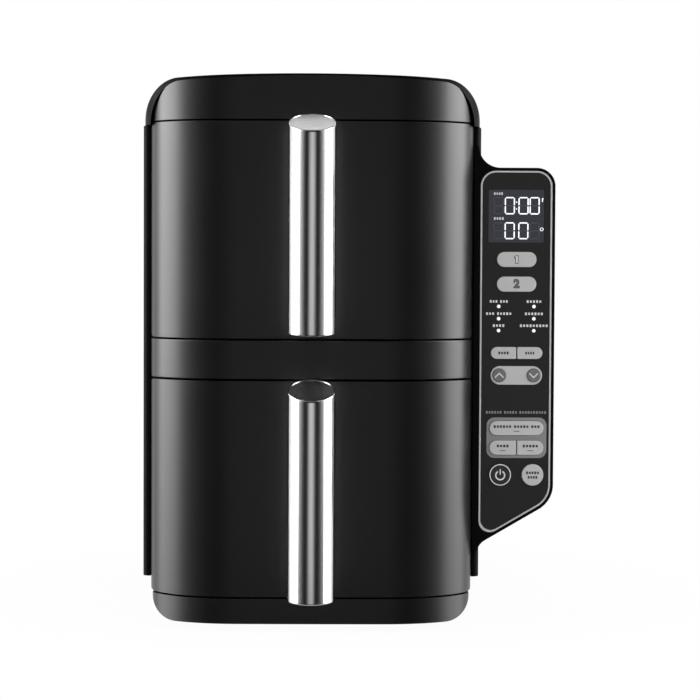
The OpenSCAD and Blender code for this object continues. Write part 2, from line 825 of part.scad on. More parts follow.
// Plan of the housing, set in by t: its back slants in to the side panel
ear_back = ear_y + ear_d;
module ear_plan(t) {
    polygon([
        [ear_left, ear_y + t], [ear_right - t, ear_y + t], [ear_right - t, ear_back - 42 - t / 2],
        [side_x + ear_w / 2 - t / 2, ear_back - t], [ear_left, ear_back - t]
    ]);
}
ledge_d = 8;
board_face = ear_y + overlay_t + ledge_d;
module control_housing() {
    wall = case_wall;
    color(case_black) place() difference() {
        intersection() {
            along_y(ear_y, ear_back) ear_outline(0);
            linear_extrude(z_top) ear_plan(0);
        }
        // the body that the housing stands against
        translate([0, frame_y - seat_gap, 0]) cube([side_x, ear_back, z_top]);
        // seat of the overlay
        along_y(ear_y - over, ear_y + overlay_t) overlay_outline(0);
        // window through the ledge
        along_y(ear_y, board_face + over) overlay_outline(2.5);
        // room for the boards
        intersection() {
            along_y(board_face, ear_back) union() {
                overlay_outline(0.5);
                translate([side_x, board_z0 - 24]) square([12, board_hgt + 34]);
            }
            linear_extrude(z_top) ear_plan(wall);
        }
    }
}

// The overlay, with holes for the lens, the lights and the keys
display_z = 287.9;
display_w = 39.6;
display_h = 37.7;
key_gap = 0.25;
key_pitch_x = 12.4;
light_zs = [224.5, 215.9, 207.5];
// Each key: middle x, middle z, width, height, corner radius
wide_x = side_x + 25.3;
display_x = wide_x - 0.9;
column_x = wide_x - 0.4;
pair_x = wide_x + 0.4;
keys = [
    [column_x, 257.5, 27.7, 10.6, 5.2],
    [column_x, 240.2, 27.7, 10.6, 5.2],
    [wide_x - 9.25, 191.8, 17.7, 8.4, 4.1],
    [wide_x + 9.25, 191.8, 17.7, 8.4, 4.1],
    [wide_x - 12.1, 176, 9.3, 9.3, 4.6],
    [wide_x + 12.1, 176, 9.3, 9.3, 4.6],
    [pair_x, 138.8, 38.2, 10.1, 5],
    [pair_x - 9.75, 125, 18.7, 10.2, 5],
    [pair_x + 9.75, 125, 18.7, 10.2, 5],
    [wide_x - 10.9, 105.8, 15.2, 15.2, 7.55],
    [wide_x + 11.9, 105.8, 15.2, 15.2, 7.55]
];
// Keys 2 and 7 are left halves of a pill, keys 3 and 8 right halves
function half_side(i) = i == 2 || i == 7 ? -1 : (i == 3 || i == 8 ? 1 : 0);
module key_shape(i, grow) {
    k = keys[i];
    side = half_side(i);
    translate([k[0], k[1]]) {
        round_rect(k[2] + 2 * grow, k[3] + 2 * grow, k[4] + grow);
        if (side != 0) {
            translate([-side * (k[2] / 4 + grow / 2), 0])
                square([k[2] / 2 + grow, k[3] + 2 * grow], center = true);
        }
    }
}
module control_overlay() {
    color([0.13, 0.13, 0.14]) place() difference() {
        along_y(ear_y, ear_y + overlay_t) overlay_outline(seat_gap);
        for (i = [0 : 1 : len(keys) - 1]) {
            along_y(ear_y - over, ear_y + overlay_t + over) key_shape(i, key_gap);
        }
        translate([display_x, 0, display_z]) along_y(ear_y - over, ear_y + overlay_t + over)
            round_rect(display_w, display_h, 1.5);
        for (x = [-key_pitch_x, key_pitch_x], z = light_zs) {
            translate([column_x + x, ear_y - over, z]) rotate([-90, 0, 0])
                cylinder(d = dot_d, h = overlay_t + 2 * over);
        }
    }
}
module display_lens() {
    color([0.2, 0.2, 0.28]) place() translate([display_x, 0, display_z])
        along_y(ear_y, ear_y + overlay_t) round_rect(display_w, display_h, 1.5);
}
module mode_lights() {
    color("white") place() for (x = [-key_pitch_x, key_pitch_x], z = light_zs) {
        translate([column_x + x, ear_y - 0.1, z]) rotate([-90, 0, 0])
            cylinder(d = dot_d, h = board_face - ear_y + 0.1);
    }
}
// The display's own module, between the lens and the board
module display_module() {
    color([0.1, 0.1, 0.14]) place()
        translate([display_x - display_w / 2, ear_y + overlay_t, display_z - display_h / 2])
        cube([display_w, board_face - ear_y - overlay_t, display_h]);
}

// The board behind the overlay, with a switch under each key
module control_board() {
    switch_w = 5;
    switch_h = 1.4;
    color(board_green) place() difference() {
        union() {
            along_y(board_face, board_face + 1.6) overlay_outline(1.5);
            for (i = [0 : 1 : len(keys) - 1]) {
                translate([keys[i][0] - switch_w / 2, board_face - switch_h, keys[i][1] - switch_w / 2])
                    cube([switch_w, switch_h + 0.8, switch_w]);
            }
            translate([display_x - 10, board_face + 1.2, display_z - 8]) cube([20, 3, 16]);
            translate([ribbon_x - 9, board_face + 1.2, ribbon_z - 3]) cube([18, 7, 6]);
        }
    }
}

// A key: cap, a wider shelf that keeps it in the panel, and a stem that meets its switch
module key(i) {
    k = keys[i];
    shelf = 0.8;
    cap_y = ear_y - key_proud;
    shelf_y = ear_y + overlay_t + 0.05;
    stem_end = board_face - 1.4 - 0.1 - key_travel;
    color(key_grey) place() {
        along_y(cap_y, shelf_y + 1) key_shape(i, 0);
        along_y(shelf_y, shelf_y + 1) intersection() {
            key_shape(i, key_gap + shelf);
            translate([k[0] - k[2] / 2 - (half_side(i) > 0 ? 0 : 2), k[1] - k[3]])
                square([k[2] + (half_side(i) == 0 ? 4 : 2), 2 * k[3]]);
        }
        translate([k[0], shelf_y, k[1]]) rotate([-90, 0, 0]) cylinder(d = 3, h = stem_end - shelf_y);
    }
}
module drawer_1_key() key(0);
module drawer_2_key() key(1);
module temperature_key() key(2);
module time_key() key(3);
module up_key() key(4);
module down_key() key(5);
module stack_key() key(6);
module sync_key() key(7);
module match_key() key(8);
module power_key() key(9);
module start_key() key(10);

// The power board, upright on the side panel's posts
module power_board() {
    pcb_t = 1.6;
    color(board_green) place() {
        translate([board_x, board_y0, board_z0]) {
            cube([pcb_t, board_w, board_hgt]);
            translate([pcb_t, 10, 110]) cube([16, 20, 28]);
            translate([pcb_t, 10, 75]) cube([16, 20, 28]);
            translate([pcb_t, 40, 20]) cube([22, 28, 34]);
            translate([pcb_t, 40, 120]) cube([3, 26, 46]);
            translate([pcb_t, 20, 30]) rotate([0, 90, 0]) cylinder(d = 18, h = 18);
            translate([pcb_t, 20, 55]) rotate([0, 90, 0]) cylinder(d = 12, h = 14);
        }
        translate([board_x + pcb_t, ribbon_y - 4, ribbon_z - 9]) cube([6, 8, 18]);
        translate([board_x + pcb_t, port_y - 6, board_z0 + 4]) cube([12, 12, 14]);
    }
}

// Ribbon between the boards, and the mains leads from the gland to the power board
ribbon_x = wide_x + 5.8;
ribbon_z = 200;
ribbon_y = 92;
lead_d = 6;
module ribbon() {
    t = 0.8;
    r = 8;
    x0 = board_x + 1.6 + 6;
    start_y = board_face + 1.2 + 7;
    translate([0, 0, ribbon_z - 6]) linear_extrude(12) {
        translate([ribbon_x, start_y]) square([t, ribbon_y - r - start_y]);
        translate([x0, ribbon_y]) square([ribbon_x - r - x0, t]);
        translate([ribbon_x - r, ribbon_y - r]) difference() {
            circle(r + t);
            circle(r);
            translate([-2 * r, -2 * r]) square([2 * r, 4 * r]);
            translate([-2 * r, -2 * r]) square([4 * r, 2 * r]);
        }
    }
}
module elbow(r) {
    rotate_extrude(angle = 90) translate([r, 0]) circle(d = lead_d);
}
// From the gland forward beside the cavities, out through the port and up to the power board
module mains_leads() {
    r = 9;
    lead_x = gland_x + 1;
    rise_x = board_x + 1.6 + 6;
    gland_face = body_d - case_wall - 2.5;
    translate([lead_x, port_y + r, gland_z]) rotate([-90, 0, 0])
        cylinder(d = lead_d, h = gland_face - port_y - r);
    translate([lead_x + r, port_y + r, gland_z]) rotate([0, 0, 180]) elbow(r);
    translate([lead_x + r, port_y, gland_z]) rotate([0, 90, 0])
        cylinder(d = lead_d, h = rise_x - lead_x - 2 * r);
    translate([rise_x - r, port_y, gland_z + r]) rotate([90, 0, 0]) rotate([0, 0, -90]) elbow(r);
    translate([rise_x, port_y, gland_z + r]) cylinder(d = lead_d, h = board_z0 + 4 - gland_z - r);
}
module wiring() {
    color([0.85, 0.85, 0.85]) place() {
        ribbon();
        mains_leads();
    }
}

// The cord's gland: a flange inside the rear cover and a stub outside, bored for the cord
module cord_gland() {
    color([0.05, 0.05, 0.05]) place() translate([gland_x, body_d, gland_z]) rotate([-90, 0, 0])
        difference() {
        union() {
            translate([0, 0, -case_wall - 2.5]) cylinder(r = gland_r, h = 2.5);
            translate([0, 0, -case_wall]) cylinder(r = gland_r - 1.5, h = case_wall);
            cylinder(r = gland_r, h = 2);
            translate([0, 0, 2]) cylinder(r1 = gland_r - 0.8, r2 = gland_r - 1.8, h = spacer_d - 3);
        }
        translate([0, 0, -case_wall - 4]) cylinder(d = cord_d, h = spacer_d + 10);
    }
}

// ---- Drawers ----

module drawer_front(z) {
    h = drawer_h - seam;
    mid = z + drawer_h / 2;
    color(fascia_black) place() difference() {
        intersection() {
            translate([0, 0, z + seam / 2]) linear_extrude(h) fascia_plan(0, back_y);
            translate([0, 0, mid]) along_y(-over, back_y) round_rect(fascia_w, h, front_r);
        }
        translate([0, 0, z + seam / 2 + skin]) linear_extrude(h - 2 * skin)
            fascia_plan(skin, back_y + over);
        handle_holes(z);
    }
}
// Heights of the two arms above a drawer's lower seam
arm_zs = [grip_low + 6, grip_low + grip_l - grip_d * tan(grip_slant) - arm_h - 4];
module handle_holes(z) {
    for (a = arm_zs) {
        translate([0, -over, z + a + arm_h / 2]) rotate([-90, 0, 0])
            cylinder(d = screw_d + 2 * seat_gap, h = skin + 3 * over);
    }
}
// The plate that closes a drawer front and carries the basket
module drawer_back(z) {
    w = fascia_w - 2 * skin - 6 * seat_gap;
    h = drawer_h - seam - 2 * skin - 2 * seat_gap;
    color(case_black) place() translate([0, 0, z + drawer_h / 2]) along_y(back_y - back_t, back_y)
        round_rect(w, h, 2);
}

module basket_plan(inset, r) {
    translate([0, (back_y + basket_end) / 2]) round_rect(basket_w - 2 * inset, basket_l - 2 * inset, r);
}
module basket(z) {
    low = z + basket_lift;
    floor_t = 2.5;
    color(dark_steel) place() difference() {
        union() {
            translate([0, 0, low]) linear_extrude(basket_h) basket_plan(0, basket_r);
            // rim, kept clear of the bezel at the front
            difference() {
                translate([0, 0, rim_z(z)]) linear_extrude(rim_t) basket_plan(-rim_w, basket_r + rim_w);
                translate([-basket_w, back_y - 2 * rim_w, low])
                    cube([2 * basket_w, 2 * rim_w, basket_h + over]);
            }
        }
        translate([0, 0, low + floor_t]) linear_extrude(basket_h)
            basket_plan(basket_t, basket_r - basket_t);
    }
}

// The grip: a round tube with a slanted top, cut out at its back for the two arms
function grip_top(z) = z + grip_low + grip_l;
module above_slant(z, drop) {
    translate([-grip_d, 0, grip_top(z) - drop]) translate([0, front_y + grip_d, 0])
        rotate([grip_slant, 0, 0])
        translate([0, -3 * grip_d, 0]) cube([2 * grip_d, 4 * grip_d, 2 * grip_d]);
}
module below_heel(z, rise) {
    translate([-grip_d, front_y, z + grip_low + rise]) rotate([grip_heel, 0, 0])
        translate([0, -grip_d, -2 * grip_d]) cube([2 * grip_d, 4 * grip_d, 2 * grip_d]);
}
module handle_grip(z) {
    color(steel) place() difference() {
        translate([0, -grip_reach, z + grip_low]) cylinder(d = grip_d, h = grip_l + 1);
        translate([0, -grip_reach, z + grip_low - over]) cylinder(d = grip_d - 2 * grip_t, h = grip_l + 3);
        above_slant(z, 0);
        below_heel(z, 0);
        for (a = arm_zs) {
            translate([-arm_w / 2 - seat_gap, -grip_reach, z + a - seat_gap])
                cube([arm_w + 2 * seat_gap, grip_d, arm_h + 2 * seat_gap]);
        }
    }
}
// The core that fills the tube, with the arms that meet the drawer front
module handle_core(z) {
    core_r = grip_d / 2 - grip_t - seat_gap;
    color(case_black) place() difference() {
        union() {
            difference() {
                translate([0, -grip_reach, z + grip_low]) cylinder(r = core_r, h = grip_l);
                above_slant(z, cap_inset + cap_t / cos(grip_slant));
                below_heel(z, cap_inset + cap_t / cos(grip_heel));
            }
            for (a = arm_zs) {
                translate([-arm_w / 2, -grip_reach, z + a]) cube([arm_w, grip_reach, arm_h]);
            }
        }
        for (a = arm_zs) {
            translate([0, over, z + a + arm_h / 2]) rotate([90, 0, 0])
                cylinder(d = screw_d + 2 * seat_gap, h = 16 + over);
        }
    }
}
module handle_caps(z) {
    cap_r = grip_d / 2 - grip_t - seat_gap;
    color([0.75, 0.75, 0.77]) place() {
        difference() {
            translate([0, -grip_reach, z + grip_low]) cylinder(r = cap_r, h = grip_l);
            above_slant(z, cap_inset);
            below_heel(z, cap_inset);
            difference() {
                translate([-grip_d, front_y - over, z]) cube([2 * grip_d, grip_d + 2 * over, 2 * grip_l]);
                above_slant(z, cap_inset + cap_t / cos(grip_slant));
                below_heel(z, cap_inset + cap_t / cos(grip_heel));
            }
        }
    }
}
// Screws from inside a drawer front into the handle's arms
module handle_screws(z) {
    color(dark_steel) place() for (a = arm_zs) {
        translate([0, skin + seat_gap / 2, z + a + arm_h / 2]) rotate([90, 0, 0]) screw(skin + 14);
    }
}

// ---- Crisper plates and racks ----

plate_w = basket_w - 2 * basket_t - 2 * plate_gap;
plate_l = basket_l - 2 * basket_t - 2 * plate_gap;
function floor_z(z) = z + basket_lift + 2.5;
function plate_z(z) = floor_z(z) + plate_lift;
plate_mid_y = (back_y + basket_end) / 2;
bumper_w = 14;
module crisper_plate(z) {
    leg_x = plate_w / 2 - 24;
    leg_y = plate_l / 2 - 24;
    rows = floor((plate_l - 70) / 16);
    color(dark_steel) place() translate([0, plate_mid_y, plate_z(z)]) difference() {
        union() {
            linear_extrude(plate_t) round_rect(plate_w, plate_l, basket_r - basket_t - plate_gap / 2);
            for (x = [-leg_x, leg_x], y = [-leg_y, leg_y]) {
                translate([x, y, slide_gap - plate_lift]) cylinder(d = 8, h = plate_lift - slide_gap);
            }
        }
        for (col = [-2 : 1 : 2], row = [0 : 1 : rows]) {
            translate([col * 28 - slot_l / 2, (row - rows / 2) * 16 - slot_w / 2, -over])
                cube([slot_l, slot_w, plate_t + 2 * over]);
        }
    }
}
// Silicone clips on the plate's edges
module crisper_bumpers(z) {
    hang = 5;
    reach = plate_gap - slide_gap;
    grip = 3;
    color([0.15, 0.15, 0.15]) place() translate([0, plate_mid_y, plate_z(z)]) difference() {
        for (a = [0, 180], y = [-60, 60]) {
            rotate(a) translate([plate_w / 2 - grip, y - bumper_w / 2, -hang])
                cube([grip + reach, bumper_w, plate_t + 2 * hang - 3]);
        }
        translate([0, 0, 0]) linear_extrude(plate_t) square([plate_w, plate_l], center = true);
    }
}
// A raised deck on two folded legs, with slots for the air
module rack(z) {
    foot = slide_gap;
    leg_edge = 14;
    leg_in = leg_edge + 20;
    color(dark_steel) place() translate([0, plate_mid_y, plate_z(z) + plate_t + foot]) difference() {
        union() {
            translate([0, 0, rack_h - foot]) linear_extrude(rack_t) round_rect(rack_w, rack_l, 12);
            for (y = [-1, 1]) {
                translate([-rack_w / 2 + leg_edge, y * (rack_l / 2 - rack_t / 2) - rack_t / 2, 0])
                    cube([rack_w - 2 * leg_edge, rack_t, rack_h]);
            }
        }
        // arches that leave four legs
        for (y = [-1, 1]) {
            translate([-rack_w / 2 + leg_in, y * (rack_l / 2 - rack_t / 2) - rack_t, -over])
                cube([rack_w - 2 * leg_in, 2 * rack_t, rack_h - 8]);
        }
        for (x = [-3 : 1 : 3], y = [-4 : 1 : 4]) {
            translate([x * 23 - 3, y * 23 - 8, rack_h - over - foot]) cube([6, 16, rack_t + 2 * over]);
        }
    }
}

module upper_drawer_front() drawer_front(z_upper);
module upper_drawer_back() drawer_back(z_upper);
module upper_basket() basket(z_upper);
module upper_handle_grip() handle_grip(z_upper);
module upper_handle_core() handle_core(z_upper);
module upper_handle_caps() handle_caps(z_upper);
module upper_handle_screws() handle_screws(z_upper);
module upper_crisper_plate() crisper_plate(z_upper);
module upper_crisper_bumpers() crisper_bumpers(z_upper);
module upper_rack() rack(z_upper);
module lower_drawer_front() drawer_front(z_lower);
module lower_drawer_back() drawer_back(z_lower);
module lower_basket() basket(z_lower);
module lower_handle_grip() handle_grip(z_lower);
module lower_handle_core() handle_core(z_lower);
module lower_handle_caps() handle_caps(z_lower);
module lower_handle_screws() handle_screws(z_lower);
module lower_crisper_plate() crisper_plate(z_lower);
module lower_crisper_bumpers() crisper_bumpers(z_lower);
module lower_rack() rack(z_lower);

front_bezel();
top_cover();
left_side_panel();
right_side_panel();
rear_cover();
base_tray();
feet();
upper_cavity();
lower_cavity();
drawer_rails();
heat_shield();
heaters();
fan_guards();
fan_motors();
power_board();
control_board();
display_module();
control_housing();
control_overlay();
display_lens();
mode_lights();
wiring();
temperature_sensors();
thermal_cutouts();
door_switches();
cord_gland();
case_screws();
upper_drawer_front();
upper_drawer_back();
upper_basket();
upper_handle_grip();
upper_handle_core();
upper_handle_caps();
upper_handle_screws();
upper_crisper_plate();
upper_crisper_bumpers();
upper_rack();
upper_fan();
lower_drawer_front();
lower_drawer_back();
lower_basket();
lower_handle_grip();
lower_handle_core();
lower_handle_caps();
lower_handle_screws();
lower_crisper_plate();
lower_crisper_bumpers();
lower_rack();
lower_fan();
drawer_1_key();
drawer_2_key();
temperature_key();
time_key();
up_key();
down_key();
stack_key();
sync_key();
match_key();
power_key();
start_key();
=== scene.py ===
"""Looks of an upright air fryer with two stacked drawers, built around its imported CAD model.

Every piece is drawn in millimetres from the middle of the drawer fronts: +X is the control panel's side,
+Y runs to the back and +Z is up. Settling a piece moves it into the frame of the CAD model, in metres.
"""

import json
import logging
import math
from dataclasses import dataclass
from enum import Enum
from typing import Callable, Optional, Union

import bpy
from mathutils import Matrix, Vector


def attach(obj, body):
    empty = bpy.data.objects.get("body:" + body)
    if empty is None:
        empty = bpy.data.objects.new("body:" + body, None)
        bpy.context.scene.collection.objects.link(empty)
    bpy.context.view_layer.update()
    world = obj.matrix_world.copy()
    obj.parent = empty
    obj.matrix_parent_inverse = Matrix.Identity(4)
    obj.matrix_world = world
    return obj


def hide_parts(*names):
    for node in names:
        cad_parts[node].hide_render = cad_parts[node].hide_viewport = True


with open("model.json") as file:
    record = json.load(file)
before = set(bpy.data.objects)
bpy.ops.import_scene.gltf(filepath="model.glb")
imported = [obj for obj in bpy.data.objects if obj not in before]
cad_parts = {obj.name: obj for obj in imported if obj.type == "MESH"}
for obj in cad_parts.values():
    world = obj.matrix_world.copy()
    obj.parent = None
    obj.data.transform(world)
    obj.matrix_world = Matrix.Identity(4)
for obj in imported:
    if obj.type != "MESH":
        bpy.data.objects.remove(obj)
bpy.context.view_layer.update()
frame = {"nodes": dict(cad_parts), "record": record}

LOG = logging.getLogger("air_fryer")
Triple = tuple[float, float, float]
Point = tuple[float, float]
Outline = list[Point]
Solid = bpy.types.Object
Socket = bpy.types.NodeSocket
Feed = Union[float, tuple[float, ...], Socket]

TO_FRAME = Matrix.Scale(0.001, 4) @ Matrix.Translation(Vector((-25.9, -174.5, 0.0)))


# ---------------------------------------------------------------- finishes


@dataclass(frozen=True)
class Wiring:
    """Short calls that add nodes to a tree and link them."""

    tree: bpy.types.NodeTree

    def feed(self, node: bpy.types.Node, inputs: dict[Union[str, int], Feed]) -> bpy.types.Node:
        """Feeds a node's inputs.

        Args:
            node: The node.
            inputs: For each input, its value or the socket that drives it.

        Returns:
            The same node.
        """
        for key, value in inputs.items():
            if isinstance(value, Socket):
                self.tree.links.new(value, node.inputs[key])
            else:
                node.inputs[key].default_value = value
        return node

    def add(self, kind: str, inputs: dict[Union[str, int], Feed], **settings: str) -> bpy.types.Node:
        """Adds a shader node of a kind, makes its settings and feeds its inputs."""
        node = self.tree.nodes.new(f"ShaderNode{kind}")
        for name, value in settings.items():
            setattr(node, name, value)
        return self.feed(node, inputs)

    def maths(self, kind: str, *values: Feed) -> Socket:
        """Works a value out from one or more others."""
        return self.add("Math", dict(enumerate(values)), operation=kind).outputs[0]

    def ramp(
        self, value: Socket, start: float, end: float, low: float, high: float, even: bool = False
    ) -> Socket:
        """Gives a step from low to high while a value runs from start to end, even or with soft ends."""
        inputs = {"Value": value, "From Min": start, "From Max": end, "To Min": low, "To Max": high}
        kind = "LINEAR" if even else "SMOOTHSTEP"
        return self.add("MapRange", inputs, interpolation_type=kind).outputs["Result"]

    def noise(self, place: Socket, scale: float, detail: float) -> Socket:
        """Gives a noise of so many features per metre and so many finer layers."""
        return self.add("TexNoise", {"Vector": place, "Scale": scale, "Detail": detail}).outputs["Fac"]

    def tint(self, share: Socket, first: Feed, second: Feed) -> Socket:
        """Blends two colours by the second one's share."""
        return self.add("Mix", {"Factor": share, "A": first, "B": second}, data_type="RGBA").outputs["Result"]

    def blend(self, share: Socket, first: bpy.types.Node, second: bpy.types.Node) -> bpy.types.Node:
        """Blends two shaders by the second one's share."""
        return self.add("MixShader", {"Fac": share, 1: first.outputs[0], 2: second.outputs[0]})


def tone(level: int, blue: int = 0) -> Triple:
    """Turns a display grey of 0 to 255 into a linear colour.

    Args:
        level: The grey as a display shows it.
        blue: How much more blue than the grey it is.

    Returns:
        The linear red, green and blue.
    """
    def linear(value: float) -> float:
        """Undoes the display's curve for one channel."""
        c = value / 255
        return c / 12.92 if c <= 0.04045 else ((c + 0.055) / 1.055) ** 2.4

    return linear(level), linear(level), linear(level + blue)


class Grain(Enum):
    """How a surface's fine texture runs."""

    EVEN = (1.0, 1.0, 1.0)
    UPRIGHT = (1.0, 1.0, 0.012)
    ACROSS = (0.012, 1.0, 1.0)
    ALONG = (1.0, 0.012, 1.0)


@dataclass(frozen=True)
class Finish:
    """One surface finish, with the variation that keeps it from looking flat."""

    name: str
    colour: Triple
    second: Triple
    rough_low: float
    rough_high: float
    grain_scale: float = 1500.0
    grain_height: float = 0.00002
    grain_strength: float = 0.15
    grain: Grain = Grain.EVEN
    patch_scale: float = 18.0
    metallic: float = 0.0
    specular: float = 0.5
    coat: float = 0.0
    coat_rough: float = 0.1
    glow: float = 0.0
    speckle: float = 0.0
    speckle_scale: float = 420.0
    speckle_colour: tuple[float, ...] = (0.35, 0.35, 0.36, 1)

    def make(self) -> bpy.types.Material:
        """Builds the material's nodes.

        Returns:
            The material, made once and found again after that.
        """
        found = bpy.data.materials.get(self.name)
        if found is not None:
            return found
        material = bpy.data.materials.new(self.name)
        material.use_nodes = True
        nodes = Wiring(material.node_tree)
        place = nodes.add("TexCoord", {}).outputs["Object"]
        patches = nodes.noise(place, self.patch_scale, 3.0)
        stretched = nodes.add("Mapping", {"Vector": place, "Scale": self.grain.value}).outputs["Vector"]
        grain = nodes.noise(stretched, self.grain_scale, 2.0)
        mixed = nodes.maths("MULTIPLY_ADD", grain, 0.5, nodes.maths("MULTIPLY", patches, 0.5))
        colour = nodes.tint(mixed, (*self.colour, 1), (*self.second, 1))
        if self.speckle:
            colour = self._speckled(nodes, place, colour)
        bump = {"Strength": self.grain_strength, "Distance": self.grain_height, "Height": grain}
        inputs = {
            "Base Color": colour, "Metallic": self.metallic, "Specular IOR Level": self.specular,
            "Coat Weight": self.coat, "Coat Roughness": self.coat_rough,
            "Roughness": nodes.ramp(mixed, 0.3, 0.7, self.rough_low, self.rough_high, even=True),
            "Normal": nodes.add("Bump", bump).outputs["Normal"],
        }
        if self.glow:
            inputs |= {"Emission Color": (*self.colour, 1), "Emission Strength": self.glow}
        nodes.feed(material.node_tree.nodes["Principled BSDF"], inputs)
        material.diffuse_color = (*self.colour, 1)
        return material

    def _speckled(self, nodes: Wiring, place: Socket, under: Socket) -> Socket:
        """Lays the fine light speckles of a non-stick coating over a colour."""
        cells = nodes.add("TexVoronoi", {"Vector": place, "Scale": self.speckle_scale}).outputs["Distance"]
        dots = nodes.ramp(cells, 0.10, 0.22, self.speckle, 0.0, even=True)
        return nodes.tint(dots, under, self.speckle_colour)


FASCIA = Finish("fascia_satin_black", tone(4), tone(7), 0.30, 0.36, specular=0.42, grain_strength=0.10)
CASE = Finish("case_black", tone(9), tone(13), 0.34, 0.44, specular=0.03, grain_strength=0.12)
STEEL = Finish(
    "handle_brushed_steel", (0.80, 0.80, 0.81), (0.62, 0.62, 0.63), 0.08, 0.17,
    grain_scale=1600.0, grain=Grain.UPRIGHT, grain_strength=0.35, metallic=1.0,
)
CAP = Finish(
    "handle_cap_satin", (0.90, 0.90, 0.91), (0.80, 0.80, 0.81), 0.20, 0.28,
    grain_scale=1400.0, grain=Grain.ACROSS, grain_strength=0.2, metallic=1.0,
)
CORE = Finish("core_black", tone(14), tone(20), 0.42, 0.55)
COATING = Finish(
    "non_stick_coating", tone(38), tone(48), 0.34, 0.48, speckle=0.5, grain_scale=900.0, grain_strength=0.2,
)
SHEET = Finish(
    "mill_steel", (0.52, 0.52, 0.52), (0.40, 0.40, 0.405), 0.28, 0.45,
    grain_scale=1200.0, grain=Grain.ALONG, grain_strength=0.3, metallic=1.0,
)
ROD = Finish("oxidised_rod", (0.10, 0.09, 0.085), (0.18, 0.15, 0.13), 0.45, 0.6, metallic=0.6)
SILICONE = Finish("silicone_grey", tone(40), tone(48), 0.6, 0.75, grain_scale=700.0)
FOOT_RUBBER = Finish("foot_rubber", tone(26), tone(34), 0.7, 0.85, grain_scale=600.0, grain_strength=0.3)
MOTOR = Finish("zinc_plate", (0.45, 0.45, 0.46), (0.32, 0.33, 0.36), 0.3, 0.5, metallic=1.0, patch_scale=60.0)
BOARD = Finish("solder_mask", (0.01, 0.10, 0.04), (0.02, 0.15, 0.07), 0.3, 0.45, patch_scale=160.0)
OVERLAY = Finish("overlay_gloss_black", tone(31), tone(37), 0.14, 0.20, specular=0.17, grain_strength=0.05)
TRIM = Finish("trim_silver", (0.72, 0.72, 0.74), (0.6, 0.6, 0.62), 0.34, 0.46, metallic=0.35)
KEY = Finish("key_light_grey", tone(182), tone(193), 0.34, 0.46, grain_strength=0.12)
KEY_DARK = Finish("key_dark_grey", tone(104), tone(112), 0.34, 0.46, grain_strength=0.12)
KEY_BLACK = Finish("key_black", tone(24), tone(30), 0.16, 0.24)
GROUP = Finish("group_grey", tone(128), tone(136), 0.36, 0.48, grain_strength=0.1)
LENS = Finish(
    "display_glass", tone(28, 12), tone(35, 15), 0.05, 0.09, specular=0.5, coat=0.3, coat_rough=0.03,
)
LIT = Finish("segments_lit", (0.92, 0.94, 1.0), (0.85, 0.88, 1.0), 0.4, 0.5, glow=0.55)
GHOST = Finish("segments_unlit", tone(66, 14), tone(72, 14), 0.3, 0.4)
PRINT = Finish("white_print", tone(214), tone(222), 0.45, 0.55)
PRINT_DIM = Finish("grey_print", tone(128), tone(136), 0.45, 0.55)
PRINT_DARK = Finish("dark_print", tone(34), tone(40), 0.45, 0.55)
PIPE = Finish("light_pipe_clear", (0.9, 0.92, 0.95), (0.85, 0.88, 0.92), 0.2, 0.3, glow=0.35)
CABLE = Finish("wire_sleeve", tone(150), tone(165), 0.45, 0.6)
CERAMIC = Finish("ceramic", (0.62, 0.58, 0.5), (0.7, 0.67, 0.6), 0.6, 0.8, grain_scale=500.0)
SCREW = Finish("black_zinc", (0.09, 0.09, 0.09), (0.14, 0.14, 0.15), 0.3, 0.45, metallic=0.8)

SLOT_FINISHES: dict[str, Finish] = {
    "fascia_plastic": FASCIA, "case_plastic": CASE, "handle_steel": STEEL, "cap_steel": CAP,
    "core_plastic": CORE, "nonstick": COATING, "steel_sheet": SHEET, "heater_steel": ROD,
    "silicone": SILICONE, "rubber_foot": FOOT_RUBBER, "motor_metal": MOTOR, "board": BOARD,
    "overlay_film": OVERLAY, "key_plastic": KEY, "lens": LENS, "display": KEY_BLACK,
    "light_pipe": PIPE, "cable": CABLE, "ceramic_disc": CERAMIC, "screw_steel": SCREW,
}


# ---------------------------------------------------------------- tools


class Plane(Enum):
    """The plane an outline is drawn in, as the turn about X that lays a drum's axis square to it."""

    PLAN = 0.0
    FRONT = -math.pi / 2

    def at(self, a: float, b: float, depth: float) -> Vector:
        """Gives the point (a, b) of the plane at that depth along its axis."""
        return Vector((a, b, depth) if self is Plane.PLAN else (a, depth, b))


class Join(Enum):
    """What a boolean does with its tool."""

    CUT = "DIFFERENCE"
    KEEP = "INTERSECT"
    ADD = "UNION"


def take(obj: Solid) -> None:
    """Makes an object the only one selected, and the active one."""
    bpy.ops.object.select_all(action="DESELECT")
    obj.select_set(True)
    bpy.context.view_layer.objects.active = obj


def edit(obj: Solid, work: Callable[[], None]) -> Solid:
    """Runs edit-mode operators on a whole object.

    Args:
        obj: The object to shape.
        work: The operators, called with all of its mesh selected.

    Returns:
        The same object.
    """
    take(obj)
    bpy.ops.object.mode_set(mode="EDIT")
    bpy.ops.mesh.select_all(action="SELECT")
    work()
    bpy.ops.object.mode_set(mode="OBJECT")
    return obj


